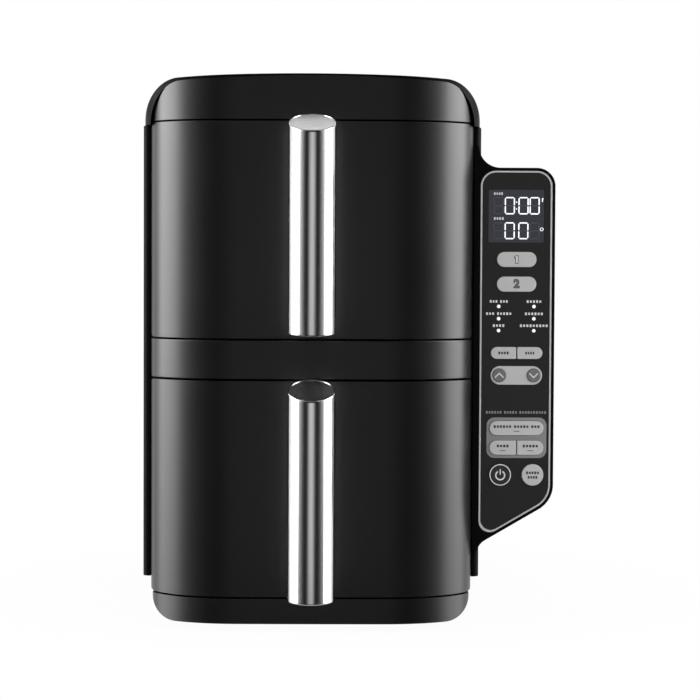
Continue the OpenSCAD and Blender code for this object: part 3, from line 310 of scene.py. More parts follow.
def extrude(points: Outline, plane: Plane, start: float, end: float) -> Solid:
    """Extrudes a closed outline.

    Args:
        points: The outline's corners, in order.
        plane: The plane it is drawn in.
        start: Where it starts along the plane's axis.
        end: Where it ends.

    Returns:
        The closed solid.
    """
    bpy.ops.object.select_all(action="DESELECT")
    bpy.ops.mesh.primitive_circle_add(vertices=len(points), fill_type="NGON")
    obj = bpy.context.object
    for vertex, (a, b) in zip(obj.data.vertices, points):
        vertex.co = plane.at(a, b, start)

    def pull() -> None:
        """Pulls the outline up to its depth and turns its faces outwards."""
        bpy.ops.mesh.extrude_region_move(TRANSFORM_OT_translate={"value": plane.at(0, 0, end - start)})
        bpy.ops.mesh.select_all(action="SELECT")
        bpy.ops.mesh.normals_make_consistent(inside=False)

    return edit(obj, pull)


def slab(points: Outline, near: float, far: float) -> Solid:
    """Extrudes a front view backwards."""
    return extrude(points, Plane.FRONT, near, far)


def prism(points: Outline, low: float, high: float) -> Solid:
    """Extrudes a plan upwards."""
    return extrude(points, Plane.PLAN, low, high)


def block(low: Triple, high: Triple) -> Solid:
    """Makes a block between two corners, as a start for a piece or as a cutter."""
    bpy.ops.object.select_all(action="DESELECT")
    bpy.ops.mesh.primitive_cube_add(size=1, location=[(a + b) / 2 for a, b in zip(low, high)])
    bpy.context.object.scale = [b - a for a, b in zip(low, high)]
    bpy.ops.object.transform_apply(location=True, rotation=True, scale=True)
    return bpy.context.object


def drum(
    centre: Point, radius: float, start: float, end: float,
    far_radius: Optional[float] = None, corners: int = 64, plane: Plane = Plane.FRONT,
) -> Solid:
    """Makes a drum or a tapered drum along a plane's axis.

    Args:
        centre: The axis's place in the plane.
        radius: Its radius at the start.
        start: Where it starts along the axis.
        end: Where it ends.
        far_radius: Its radius at the end, if it tapers.
        corners: The number of its sides.
        plane: The plane its circles lie in.

    Returns:
        The drum.
    """
    bpy.ops.object.select_all(action="DESELECT")
    bpy.ops.mesh.primitive_cone_add(
        vertices=corners, radius1=radius, radius2=radius if far_radius is None else far_radius,
        depth=end - start, location=plane.at(*centre, (start + end) / 2), rotation=(plane.value, 0, 0),
    )
    bpy.ops.object.transform_apply(location=True, rotation=True, scale=True)
    return bpy.context.object


def combine(obj: Solid, tool: Solid, how: Join) -> Solid:
    """Applies a boolean with a tool, which is used up."""
    take(obj)
    modifier = obj.modifiers.new("combine", "BOOLEAN")
    modifier.operation = how.value
    modifier.solver = "EXACT"
    modifier.object = tool
    bpy.ops.object.modifier_apply(modifier=modifier.name)
    bpy.data.objects.remove(tool)
    return obj


def cut(obj: Solid, *tools: Solid) -> Solid:
    """Cuts every tool out of an object."""
    for tool in tools:
        combine(obj, tool, Join.CUT)
    return obj


def bisect(obj: Solid, point: Vector, normal: Vector) -> Solid:
    """Cuts off what lies on the normal's side of a plane, and closes the cut."""
    def work() -> None:
        """Bisects the mesh at the plane."""
        bpy.ops.mesh.bisect(plane_co=point, plane_no=normal, use_fill=True, clear_outer=True)

    return edit(obj, work)


def soften(obj: Solid, width: float, steps: int = 3, angle: float = 30.0) -> Solid:
    """Rounds an object's sharp edges.

    Args:
        obj: The object.
        width: The width of the rounding.
        steps: The number of its facets.
        angle: The least angle of an edge that is rounded, in degrees.

    Returns:
        The same object.
    """
    def clean() -> None:
        """Merges the slivers that booleans leave."""
        bpy.ops.mesh.remove_doubles(threshold=0.004)
        bpy.ops.mesh.dissolve_degenerate(threshold=0.004)

    edit(obj, clean)
    modifier = obj.modifiers.new("round", "BEVEL")
    modifier.width = width
    modifier.segments = steps
    modifier.limit_method = "ANGLE"
    modifier.angle_limit = math.radians(angle)
    modifier.miter_outer = "MITER_ARC"
    bpy.ops.object.modifier_apply(modifier=modifier.name)
    return obj


def smooth(obj: Solid, angle: float = 35.0) -> Solid:
    """Shades an object smooth up to an angle, with its large faces kept flat."""
    take(obj)
    bpy.ops.object.shade_smooth_by_angle(angle=math.radians(angle))
    modifier = obj.modifiers.new("even", "WEIGHTED_NORMAL")
    modifier.keep_sharp = True
    modifier.weight = 50
    bpy.ops.object.modifier_apply(modifier=modifier.name)
    return obj


def gather(parts: list[Solid]) -> Solid:
    """Joins separate solids into one object."""
    take(parts[0])
    for part in parts:
        part.select_set(True)
    if len(parts) > 1:
        bpy.ops.object.join()
    return parts[0]


def settle(
    obj: Solid, name: str, slot: str, node: str = "", body: str = "housing", finish: Optional[Finish] = None
) -> Solid:
    """Moves a finished piece into the frame, dresses it and gives it to its body.

    Args:
        obj: The piece, in millimetres.
        name: Its name.
        slot: The record's material slot.
        node: The CAD node that it replaces, if any.
        body: The body that carries it.
        finish: Its finish, where it isn't its slot's own.

    Returns:
        The same object.
    """
    obj.name = name
    obj.data.name = name
    obj.data.transform(TO_FRAME)
    obj.data.materials.clear()
    obj.data.materials.append((finish or SLOT_FINISHES[slot]).make())
    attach(obj, body)
    if node:
        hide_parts(node)
    LOG.info("%s: %d faces on %s", name, len(obj.data.polygons), body)
    return obj


# ---------------------------------------------------------------- outlines


def arc(cx: float, cz: float, radius: float, first: float, last: float, steps: int) -> Outline:
    """Gives points on an arc.

    Args:
        cx: The centre's first coordinate.
        cz: The centre's second coordinate.
        radius: The arc's radius.
        first: Its first angle in degrees.
        last: Its last angle.
        steps: The number of its chords.

    Returns:
        The points, both ends included.
    """
    angles = [math.radians(first + (last - first) * i / steps) for i in range(steps + 1)]
    return [(cx + radius * math.cos(a), cz + radius * math.sin(a)) for a in angles]


def round_rect(cx: float, cz: float, width: float, height: float, radius: float, steps: int = 10) -> Outline:
    """Gives a rectangle with round corners about a centre."""
    x, z = width / 2 - radius, height / 2 - radius
    corners = ((x, z, 0), (-x, z, 90), (-x, -z, 180), (x, -z, 270))
    return [point for dx, dz, a in corners for point in arc(cx + dx, cz + dz, radius, a, a + 90, steps)]


def sweep(u: float) -> float:
    """Gives the rise of a quarter ellipse, from 0 at its start to 1 at its end."""
    return 1 - math.sqrt(max(0.0, 1 - u * u))


@dataclass(frozen=True)
class BodyShape:
    """The curves that the fascia, the cover and the case share."""

    half: float = 112.7
    sweep_w: float = 61.6
    sweep_d: float = 41.6
    bow: float = 1.4
    brow_top: float = 382.6
    brow_fall: float = 4.6
    brow_w: float = 22.0
    brow_h: float = 28.0
    top: float = 384.0
    cover_half: float = 117.4
    cover_back: float = 3.4
    shoulder_w: float = 25.0
    shoulder_h: float = 28.5
    crown: float = 4.2
    side_half: float = 118.7
    shoulder_z: float = 350.0
    side_z: float = 33.0
    frame_y: float = 44.0
    cavity_y: float = 48.0
    rear_y: float = 374.0
    back_y: float = 402.0
    steps: int = 30

    def bends(self, width: float) -> list[float]:
        """Gives falling distances that draw a quarter ellipse of a width evenly."""
        return [width * math.cos(math.radians(i * 90 / self.steps)) for i in range(self.steps + 1)]

    def fascia_at(self, x: float, inset: float = 0.0) -> float:
        """Gives the fascia's depth at x, set in from its face."""
        u = max(0.0, (abs(x) - (self.half - self.sweep_w)) / (self.sweep_w - inset))
        return inset + self.bow * (x / self.half) ** 2 + (self.sweep_d - inset) * sweep(u)

    def fascia_xs(self, inset: float) -> list[float]:
        """Gives the x values that draw the fascia's plan evenly."""
        flat, bends = self.half - self.sweep_w, self.bends(self.sweep_w - inset)
        middle = [flat * (i / 6 - 1) for i in range(1, 12)]
        return [-flat - c for c in bends] + middle + [flat + c for c in reversed(bends)]

    def fascia_plan(self, inset: float, depth: float) -> Outline:
        """Gives the fascia's plan, back to a depth."""
        front = [(x, self.fascia_at(x, inset)) for x in self.fascia_xs(inset)]
        return front + [(self.half - inset, depth), (inset - self.half, depth)]

    def shoulder_xs(self, half: float, width: float) -> list[float]:
        """Gives the x values, from right to left, that draw a top with round shoulders."""
        flat, bends = half - width, self.bends(width)
        middle = [flat * (1 - i / 8) for i in range(1, 16)]
        return [flat + c for c in bends] + middle + [-flat - c for c in reversed(bends)]

    def brow_outline(self, low: float) -> Outline:
        """Gives the brow's front view above a height."""
        def height(x: float) -> float:
            """Gives the brow's top edge at x."""
            u = max(0.0, (abs(x) - (self.half - self.brow_w)) / self.brow_w)
            return self.brow_top - self.brow_fall * (abs(x) / self.half) ** 1.5 - self.brow_h * sweep(u)

        xs = self.shoulder_xs(self.half, self.brow_w)
        return [(-self.half, low), (self.half, low)] + [(x, height(x)) for x in xs]

    def cover_curve(self, inset: float) -> Outline:
        """Gives the cover's top curve, from right to left."""
        def height(x: float) -> float:
            """Gives the cover's top at x."""
            u = max(0.0, (abs(x) - (self.cover_half - self.shoulder_w)) / (self.shoulder_w - inset))
            crown = self.crown * (x / self.cover_half) ** 2
            return self.top - inset - crown - (self.shoulder_h - inset) * sweep(u)

        return [(x, height(x)) for x in self.shoulder_xs(self.cover_half - inset, self.shoulder_w - inset)]

    def cover_plan(self, inset: float, depth: float) -> Outline:
        """Gives the cover's plan, whose front follows the fascia's sweep."""
        k = self.cover_half / self.half
        front = [(x * k, self.fascia_at(x, inset) + self.cover_back) for x in self.fascia_xs(inset)]
        return front + [(k * (self.half - inset), depth), (k * (inset - self.half), depth)]


BODY = BodyShape()
DRAWER_LOWS = {"lower": 24.0, "upper": 202.0}
DRAWER_H = 150.0
PAST = 5.0  # how far a cutter reaches past what it cuts


class End(Enum):
    """An end of a handle's grip."""

    TOP = 1
    FOOT = -1


# ---------------------------------------------------------------- housing


@dataclass
class Bezel:
    """The brow, the band between the drawers, the chin and the plate behind them."""

    seam: float = 0.6
    skin: float = 3.0
    web: float = 2.5
    band_low: float = 174.0
    band_high: float = 202.0
    brow_low: float = 352.0
    chin_low: float = 6.0
    chin_high: float = 24.0
    chin_half: float = 110.95
    chin_r_w: float = 17.0
    chin_r_h: float = 15.5
    tabs: tuple[Triple, ...] = ((90.7, 351.0, 369.0), (104.95, 12.0, 25.0))
    hole: Triple = (205.4, 138.0, 6.0)

    def build(self) -> None:
        """Builds the four pieces."""
        self._brow()
        self._band()
        self._chin()
        self._plate()

    def _hollow(self, obj: Solid, low: float, high: float) -> Solid:
        """Hollows a band of the bezel behind its skin."""
        return cut(obj, prism(BODY.fascia_plan(self.skin, BODY.frame_y), low + self.web, high - self.web))

    def _dress(self, obj: Solid, name: str) -> None:
        """Smooths a piece of the bezel and settles it."""
        settle(smooth(obj), name, "fascia_plastic", "front_bezel")

    def _brow(self) -> None:
        """Builds the brow over the upper drawer."""
        low = self.brow_low + self.seam
        brow = prism(BODY.fascia_plan(0, BODY.frame_y), low, BODY.top + PAST)
        combine(brow, slab(BODY.brow_outline(low - PAST), -PAST, BODY.frame_y + PAST), Join.KEEP)
        soften(brow, 0.7)
        cut(brow, prism(BODY.fascia_plan(self.skin, BODY.frame_y + PAST), low + self.web, BODY.top + PAST))
        self._dress(brow, "bezel_brow")

    def _band(self) -> None:
        """Builds the band between the drawers."""
        low, high = self.band_low + self.seam, self.band_high - self.seam
        band = soften(prism(BODY.fascia_plan(0, BODY.cavity_y), low, high), 0.6)
        self._dress(self._hollow(band, low, high), "bezel_band")

    def _chin(self) -> None:
        """Builds the chin below the lower drawer, with its round lower corners."""
        half, low, high = self.chin_half, self.chin_low, self.chin_high - self.seam
        w, h, turn = self.chin_r_w, self.chin_r_h, [math.radians(a * 5) for a in range(19)]
        left = [(w * (1 - math.cos(a)) - half, low + h * (1 - math.sin(a))) for a in turn]
        outline = [(half, high + PAST), (-half, high + PAST)] + left + [(-x, z) for x, z in reversed(left)]
        chin = prism(BODY.fascia_plan(0, BODY.cavity_y), low, high)
        combine(chin, slab(outline, -PAST, BODY.cavity_y + PAST), Join.KEEP)
        self._dress(self._hollow(soften(chin, 0.8), low, high), "bezel_chin")

    def _plate(self) -> None:
        """Builds the plate with its two tabs and the two drawer openings."""
        near, far = BODY.frame_y, BODY.cavity_y
        plate = block((-BODY.half, near, self.chin_high), (BODY.half, far, self.brow_low))
        for half, low, high in self.tabs:
            combine(plate, block((-half, near, low), (half, far, high)), Join.ADD)
        for low in DRAWER_LOWS.values():
            cut(plate, slab(round_rect(0, low + DRAWER_H / 2, *self.hole), near - PAST, far + PAST))
        self._dress(soften(plate, 0.4, 2), "bezel_plate")


@dataclass
class Case:
    """The top cover, the side panels and the rear cover."""

    wall: float = 2.5
    curl: float = 4.6
    side_gap: float = 0.4
    mouth_gap: float = 0.1
    louvres: int = 8
    louvre: Triple = (76.0, 4.0, 1.9)
    louvre_zs: tuple[float, ...] = (99.0, 277.0)
    spacer: Point = (70.0, 304.0)
    spacer_r: float = 14.0
    spacer_tip_r: float = 11.0
    spacer_l: float = 8.0
    screw_r: float = 3.7
    screw_x: float = 112.5
    screw_zs: tuple[float, ...] = (60.0, 190.0, 320.0)
    well: float = 6.4
    gland: Point = (109.0, 100.0)
    gland_r: float = 5.0
    root: float = 1.2

    def build(self) -> None:
        """Builds the case's pieces."""
        self._cover()
        self._sides()
        self._rear()

    def _cover(self) -> None:
        """Builds the arched top cover with its mouth for the brow."""
        def form(inset: float, past: float) -> Solid:
            """Makes the cover's form, set in by a wall and longer at its open sides."""
            half, low, rear = BODY.cover_half - inset, BODY.shoulder_z - past, BODY.rear_y + past
            view = slab([(-half, low), (half, low)] + BODY.cover_curve(inset), -past, rear)
            plan = prism(BODY.cover_plan(inset, rear + past), low - PAST, BODY.top + PAST)
            return combine(view, plan, Join.KEEP)

        cover = soften(form(0, 0), 0.8)
        mouth = slab(BODY.brow_outline(BODY.shoulder_z - PAST), -PAST, BODY.frame_y + self.mouth_gap)
        cut(cover, form(self.wall, PAST), mouth)
        settle(smooth(cover), "top_cover_shell", "case_plastic", "top_cover")

    def _sides(self) -> None:
        """Builds both side panels, whose front edges curl in to the bezel."""
        inner, outer, near, rear = BODY.half + self.side_gap, BODY.side_half, BODY.frame_y, BODY.rear_y
        right = [(inner, near)] + arc(outer - self.curl, near + self.curl, self.curl, 270, 360, 16)
        right += [(outer, rear), (outer - self.wall, rear)]
        right += [(outer - self.wall, BODY.cavity_y), (inner, BODY.cavity_y)]
        left = [(-x, y) for x, y in reversed(right)]
        for side, outline in (("left", left), ("right", right)):
            panel = soften(prism(outline, BODY.side_z, BODY.shoulder_z), 0.4, 2)
            settle(smooth(panel), f"{side}_side_shell", "case_plastic", f"{side}_side_panel")

    def _rear(self) -> None:
        """Builds the rear cover with its slots, screw wells, wall spacers and gland hole."""
        def outline(inset: float) -> Outline:
            """Gives the case's rear view, set in by a wall."""
            side, foot = BODY.side_half - inset, BODY.side_z + inset
            right = [(-side, foot), (side, foot), (side, BODY.shoulder_z)]
            return right + BODY.cover_curve(inset) + [(-side, BODY.shoulder_z)]

        back, past = BODY.back_y, BODY.back_y + PAST
        cover = soften(slab(outline(0), BODY.rear_y, back), 1.6, 4)
        cut(cover, slab(outline(self.wall), BODY.rear_y - PAST, back - self.wall))
        for side in (-1, 1):
            spot = (side * self.spacer[0], self.spacer[1])
            spacer = drum(spot, self.spacer_r, back - self.root, back + self.spacer_l, self.spacer_tip_r, 48)
            combine(cover, soften(spacer, 1.2), Join.ADD)
        for middle in self.louvre_zs:
            for i in range(self.louvres):
                z = middle + (2 * i + 1 - self.louvres) * self.louvre[1]
                cut(cover, slab(round_rect(0, z, *self.louvre, 5), back - self.wall - PAST, past))
        for side in (-1, 1):
            for z in self.screw_zs:
                cut(cover, drum((side * self.screw_x, z), self.screw_r, back - self.well, past, corners=32))
        cut(cover, drum(self.gland, self.gland_r, back - self.well, past, corners=32))
        settle(smooth(cover), "rear_cover_shell", "case_plastic", "rear_cover")


# ---------------------------------------------------------------- drawers


@dataclass
class Drawer:
    """A drawer front with its handle. The basket behind it is the CAD node."""

    name: str
    low: float
    seam: float = 1.2
    corner: float = 3.0
    skin: float = 3.0
    back: float = 43.4
    grip_r: float = 16.0
    grip_t: float = 1.2
    reach: float = 45.0
    grip_low: float = 4.3
    grip_l: float = 148.3
    slant: float = 22.3
    heel: float = 4.0
    arm_w: float = 20.0
    arm_h: float = 15.0
    arm_rise: float = 6.0
    arm_drop: float = 4.0
    slot_end: float = -20.0
    cap_inset: float = 0.12
    cap_t: float = 2.0
    gap: float = 0.1

    def build(self) -> None:
        """Builds the drawer front and its handle."""
        self._front()
        self._grip()
        self._core()
        self._caps()

    def _dress(self, obj: Solid, part: str, kind: str, slot: str) -> None:
        """Smooths a piece of the drawer and settles it in its CAD node's place."""
        node = f"{self.name}_{part}"
        settle(smooth(obj), f"{node}_{kind}", slot, node, body=f"{self.name}_drawer")

    def _front(self) -> None:
        """Builds the curved front shell."""
        h, low = DRAWER_H - self.seam, self.low + self.seam / 2
        front = prism(BODY.fascia_plan(0, self.back), low, low + h)
        outline = round_rect(0, low + h / 2, 2 * BODY.half, h, self.corner)
        combine(front, slab(outline, -PAST, self.back + PAST), Join.KEEP)
        soften(front, 0.6)
        cut(front, prism(BODY.fascia_plan(self.skin, self.back + PAST), low + self.skin, low + h - self.skin))
        self._dress(front, "drawer_front", "shell", "fascia_plastic")

    def _rod(self, radius: float) -> Solid:
        """Makes an upright drum on the grip's axis, longer than the grip."""
        low = self.low + self.grip_low
        high = low + self.grip_l + PAST
        return drum((0, -self.reach), radius, low - PAST, high, corners=128, plane=Plane.PLAN)

    def _plug(self) -> Solid:
        """Makes a drum that fits in the grip's tube."""
        return self._rod(self.grip_r - self.grip_t - self.gap)

    def _end_cut(self, obj: Solid, end: End, depth: float, keep_middle: bool = True) -> Solid:
        """Cuts a drum along one of the grip's slanted ends.

        Args:
            obj: The drum.
            end: The end.
            depth: How far the cut lies inside that end, straight up or down.
            keep_middle: Whether the middle stays, or else what lies past the cut.

        Returns:
            The same object.
        """
        side, slope = end.value, math.radians(self._slope(end))
        height = self.low + self.grip_low + (self.grip_l if end is End.TOP else 0)
        point = Vector((0, side * self.grip_r - self.reach, height - side * depth))
        normal = Vector((0, -side * math.sin(slope), side * math.cos(slope)))
        return bisect(obj, point, normal if keep_middle else -normal)

    def _slope(self, end: End) -> float:
        """Gives an end's slant in degrees."""
        return self.slant if end is End.TOP else self.heel

    def _under_cap(self, end: End) -> float:
        """Gives how far a cap's inner face lies inside its end."""
        return self.cap_inset + self.cap_t / math.cos(math.radians(self._slope(end)))

    def _arm_zs(self) -> list[float]:
        """Gives the heights of the two arms."""
        short = 2 * self.grip_r * math.tan(math.radians(self.slant))
        high = self.grip_low + self.grip_l - short - self.arm_h - self.arm_drop
        return [self.low + self.grip_low + self.arm_rise, self.low + high]

    def _grip(self) -> None:
        """Builds the brushed tube with its slanted ends and the slots for the arms."""
        grip = self._end_cut(self._end_cut(self._rod(self.grip_r), End.TOP, 0), End.FOOT, 0)
        soften(grip, 1.0, 5)
        cut(grip, self._rod(self.grip_r - self.grip_t))
        w = self.arm_w / 2 + self.gap
        for z in self._arm_zs():
            cut(grip, block((-w, -self.reach, z - self.gap), (w, self.slot_end, z + self.arm_h + self.gap)))
        self._dress(grip, "handle_grip", "tube", "handle_steel")

    def _core(self) -> None:
        """Builds the core with its two arms."""
        core = self._plug()
        for end in End:
            self._end_cut(core, end, self._under_cap(end))
        for z in self._arm_zs():
            arm = block((-self.arm_w / 2, -self.reach, z), (self.arm_w / 2, 0, z + self.arm_h))
            combine(core, soften(arm, 1.8, 4), Join.ADD)
        self._dress(core, "handle_core", "arms", "core_plastic")

    def _caps(self) -> None:
        """Builds the two end caps, a little below the tube's rims."""
        caps = []
        for end in End:
            cap = self._end_cut(self._plug(), end, self.cap_inset)
            caps.append(soften(self._end_cut(cap, end, self._under_cap(end), keep_middle=False), 0.25, 2))
        self._dress(gather(caps), "handle_caps", "discs", "cap_steel")


# ---------------------------------------------------------------- control panel


class Half(Enum):
    """Which half of a pill a key is."""

    LEFT = -1
    WHOLE = 0
    RIGHT = 1


@dataclass(frozen=True)
class Key:
    """One key: its middle, size, corner radius, shape and finish."""

    name: str
    x: float
    z: float
    w: float
    h: float
    r: float
    half: Half = Half.WHOLE
    finish: Finish = KEY
    cut_r: float = 0.6

    def outline(self, grow: float) -> Outline:
        """Gives the key's outline, grown all round."""
        x, z, c = self.x, self.z, self.cut_r
        w, h, r = self.w / 2 + grow, self.h / 2 + grow, self.r + grow
        if self.half is Half.WHOLE:
            return round_rect(x, z, 2 * w, 2 * h, min(r, w, h) - 0.001, 12)
        right = (
            arc(x + w - r, z - h + r, r, 270, 360, 12) + arc(x + w - r, z + h - r, r, 0, 90, 12)
            + arc(x - w + c, z + h - c, c, 90, 180, 4) + arc(x - w + c, z - h + c, c, 180, 270, 4)
        )
        return right if self.half is Half.RIGHT else [(2 * x - a, b) for a, b in reversed(right)]

    def settle(self, obj: Solid, name: str, finish: Finish, node: str = "") -> None:
        """Settles a piece that moves with the key."""
        settle(obj, name, "key_plastic", node, body=f"{self.name}_key", finish=finish)


KEYS = {key.name: key for key in (
    Key("drawer_1", 143.6, 257.5, 27.7, 10.6, 5.2),
    Key("drawer_2", 143.6, 240.2, 27.7, 10.6, 5.2),
    Key("temperature", 134.75, 191.8, 17.7, 8.4, 4.1, Half.LEFT),
    Key("time", 153.25, 191.8, 17.7, 8.4, 4.1, Half.RIGHT),
    Key("up", 131.9, 176.0, 9.3, 9.3, 4.6, finish=KEY_DARK),
    Key("down", 156.1, 176.0, 9.3, 9.3, 4.6, finish=KEY_DARK),
    Key("stack", 144.4, 138.8, 38.2, 10.1, 5.0),
    Key("sync", 134.65, 125.0, 18.7, 10.2, 5.0, Half.LEFT),
    Key("match", 154.15, 125.0, 18.7, 10.2, 5.0, Half.RIGHT),
    Key("power", 133.1, 105.8, 15.2, 15.2, 7.55, finish=KEY_BLACK),
    Key("start", 155.9, 105.8, 15.2, 15.2, 7.55),
)}

# For each key with a label: the height of each row over its middle, its width and the ticks in its groups
LABELS: dict[str, tuple[tuple[float, float, tuple[int, ...]], ...]] = {
    "temperature": ((0.0, 7.8, (4,)),),
    "time": ((0.0, 6.8, (4,)),),
    "stack": ((1.1, 33.0, (6, 5, 3)),),
    "sync": ((1.2, 9.0, (4,)),),
    "match": ((1.2, 11.4, (5,)),),
    "start": ((1.5, 9.6, (5,)), (-1.7, 7.2, (4,))),
}

# For each light by its column and row: the width of its label and the ticks in its groups
LIGHT_LABELS = {
    (0, 0): (13.3, (3, 3)), (1, 0): (11.1, (5,)), (0, 1): (18.5, (3, 5)),
    (1, 1): (13.4, (6,)), (0, 2): (8.8, (4,)), (1, 2): (20.4, (9,)),
}

# The corners of a plain numeral 1 and of the pale part inside it
ONE_EDGE = ((-1.0, -3.0), (1.15, -3.0), (1.15, 3.0), (-0.35, 3.0), (-2.1, 1.75), (-1.5, 0.4), (-1.0, 0.7))
ONE_FACE = ((-0.5, -2.5), (0.65, -2.5), (0.65, 2.5), (-0.2, 2.5), (-1.45, 1.6), (-1.2, 1.1), (-0.5, 1.5))

# The corners of the small stroke after the display's upper digits
SMALL_STROKE = [(161.0, 297.9), (161.6, 297.9), (162.0, 300.6), (161.1, 300.6)]


@dataclass
class ControlPanel:
    """The housing at the right side, its overlay, display, lights and keys."""

    face: float = 40.0
    key_face: float = 39.2
    depth: float = 98.0
    top: float = 321.8
    turn: float = 87.3
    angle: float = 30.3
    corner: float = 13.0
    low_corner: float = 20.0
    neck_r: float = 15.0
    foot_r: float = 12.0
    rim: float = 2.1
    side_rim: float = 4.3
    tip_r: float = 8.0
    left: float = 113.6
    right: float = 170.5
    base: float = 52.4
    tuck: float = 2.0
    back_slant: float = 42.0
    overlay_t: float = 2.0
    board_face: float = 50.0
    wall: float = 2.5
    lip: float = 2.5
    gap: float = 0.1
    key_gap: float = 0.25
    shelf_gap: float = 0.05
    shelf_t: float = 1.0
    stem_r: float = 1.5
    stem_gap: float = 2.1
    light_r: float = 1.28
    light_gap: float = 0.04
    trim_w: float = 1.2
    trim_proud: float = 0.3
    plate_proud: float = 0.15
    mark_sink: float = 0.02
    key_mark_sink: float = 0.05
    dash: Triple = (4.2, 0.45, 0.2)
    dash_drop: float = 2.1
    ring_r: float = 7.58
    ring_hole_r: float = 6.9
    sign_r: float = 3.6
    sign_hole_r: float = 2.65
    sign_gap: float = 32.0  # half the sign's opening, in degrees
    tick_h: float = 1.9
    tick_w: float = 0.62  # of a pitch
    tick_gap: float = 0.6  # between groups, of a pitch
    tick_r: float = 0.12
    tick_rises: tuple[float, ...] = (1.0, 0.82, 0.92)
    tick_lift: float = 3.5
    stroke: float = 0.88
    stroke_gap: float = 0.22
    digit_w: float = 7.2
    digit_xs: tuple[float, ...] = (127.0, 134.9, 144.5, 152.3)
    digit_rows: tuple[tuple[float, float, str], ...] = ((289.1, 301.3, "-000"), (271.7, 283.6, "-00-"))
    colon_x: float = 143.2
    colon_zs: tuple[float, ...] = (292.9, 297.7)
    degree: Point = (161.0, 278.7)
    degree_r: float = 1.25
    degree_hole_r: float = 0.8
    display: tuple[float, ...] = (143.1, 287.9, 39.6, 37.7)
    display_r: float = 1.5
    display_labels: tuple[Triple, ...] = ((130.4, 303.6, 6.8), (130.8, 286.2, 7.6))
    arrows: tuple[float, ...] = (144.0, 176.0, 36.2, 13.0, 6.45)
    group: tuple[float, ...] = (144.4, 132.0, 42.2, 28.6, 5.5)
    light_xs: tuple[float, float] = (131.2, 156.0)
    light_zs: tuple[float, ...] = (224.5, 215.9, 207.5)
    group_label: Triple = (143.9, 149.9, 43.0)

    def build(self) -> None:
        """Builds the panel's pieces."""
        self._housing()
        self._overlay()
        self._plate("arrow", self.arrows, KEY, ("up", "down"))
        self._plate("group", self.group, GROUP, ("stack", "sync", "match"))
        self._display()
        self._lights()
        for key in KEYS.values():
            self._key(key)
        self._prints()

    def _slant_corner(self, x: float, turn: float, r: float) -> Outline:
        """Gives the round corner of the slant and an upright edge at x, which would meet at a height."""
        slope = math.radians(self.angle)
        return arc(x - r, turn + r / math.cos(slope) - r * math.tan(slope), r, 270 + self.angle, 360, 14)

    def _ear_outline(self) -> Outline:
        """Gives the housing's front view."""
        slope = math.radians(self.angle)
        c, neck, low, side = self.corner, self.neck_r, self.foot_r, BODY.side_half - self.tuck
        foot = self.turn - (self.right - side - low) * math.tan(slope) - low / math.cos(slope)
        return (
            arc(self.right - c, self.top - c, c, 0, 90, 16)
            + arc(side + neck, self.top + neck, neck, 270, 180, 14)
            + [(self.left, self.top + neck), (self.left, self.base), (side, self.base)]
            + arc(side + low, foot, low, 180, 90 + self.angle, 10)
            + self._slant_corner(self.right, self.turn, self.low_corner)
        )

    def _overlay_outline(self, inset: float) -> Outline:
        """Gives the overlay's outline, set in from its seat."""
        slope, edge = math.radians(self.angle), self.rim + inset
        left, right, top = self.left + self.side_rim + inset, self.right - edge, self.top - edge
        c, low = self.corner - edge, self.tip_r - inset / 2
        turn = self.turn + edge / math.cos(slope) - edge * math.tan(slope)
        foot = turn - (right - left) * math.tan(slope) + low / math.cos(slope) + low * math.tan(slope)
        return (
            arc(right - c, top - c, c, 0, 90, 14) + arc(left + c, top - c, c, 90, 180, 14)
            + arc(left + low, foot, low, 180, 270 + self.angle, 14)
            + self._slant_corner(right, turn, self.low_corner - edge)
        )

    def _ear_plan(self, inset: float) -> Outline:
        """Gives the housing's plan, whose back slants in to the side panel."""
        near, back, right = self.face + inset, self.face + self.depth, self.right - inset
        middle = (BODY.side_half + self.right - inset) / 2
        return [
            (self.left, near), (right, near), (right, back - self.back_slant - inset / 2),
            (middle, back - inset), (self.left, back - inset),
        ]

    def _housing(self) -> None:
        """Builds the housing with the overlay's seat and the room behind it."""
        back = self.face + self.depth
        inside, below, above = 80, 40, 400  # where the cutters end, clear of the housing
        ear = slab(self._ear_outline(), self.face, back)
        combine(ear, prism(self._ear_plan(0), below, BODY.top), Join.KEEP)
        cut(ear, block((inside, BODY.frame_y - self.gap, 0), (BODY.side_half, back + 2 * PAST, above)))
        soften(ear, 1.4, 4, 24)
        room = slab(self._overlay_outline(0.5), self.board_face, back + PAST)
        combine(room, prism(self._ear_plan(self.wall), below, BODY.top), Join.KEEP)
        seat = slab(self._overlay_outline(0), self.face - PAST, self.face + self.overlay_t)
        window = slab(self._overlay_outline(self.lip), self.face, self.board_face + 1)
        settle(smooth(cut(ear, seat, window, room)), "panel_housing_shell", "case_plastic", "control_housing")

    def _through(self, outline: Outline) -> Solid:
        """Makes a cutter that goes through the overlay."""
        return slab(outline, self.face - PAST, self.face + self.overlay_t + PAST)

    def _overlay(self) -> None:
        """Builds the overlay and the silver line round it."""
        low, high = self.face, self.face + self.overlay_t
        inner = self._overlay_outline(self.gap + self.trim_w)
        film = slab(inner, low, high)
        for key in KEYS.values():
            cut(film, self._through(key.outline(self.key_gap)))
        cut(film, self._through(round_rect(*self.display, self.display_r)))
        for spot in self._light_spots():
            cut(film, drum(spot, self.light_r + self.light_gap, low - PAST, high + PAST, corners=24))
        settle(smooth(film), "overlay_film_sheet", "overlay_film", "control_overlay")
        line = cut(slab(self._overlay_outline(self.gap), low - self.trim_proud, high), self._through(inner))
        settle(smooth(soften(line, 0.25, 2, 50)), "overlay_trim", "key_plastic", finish=TRIM)

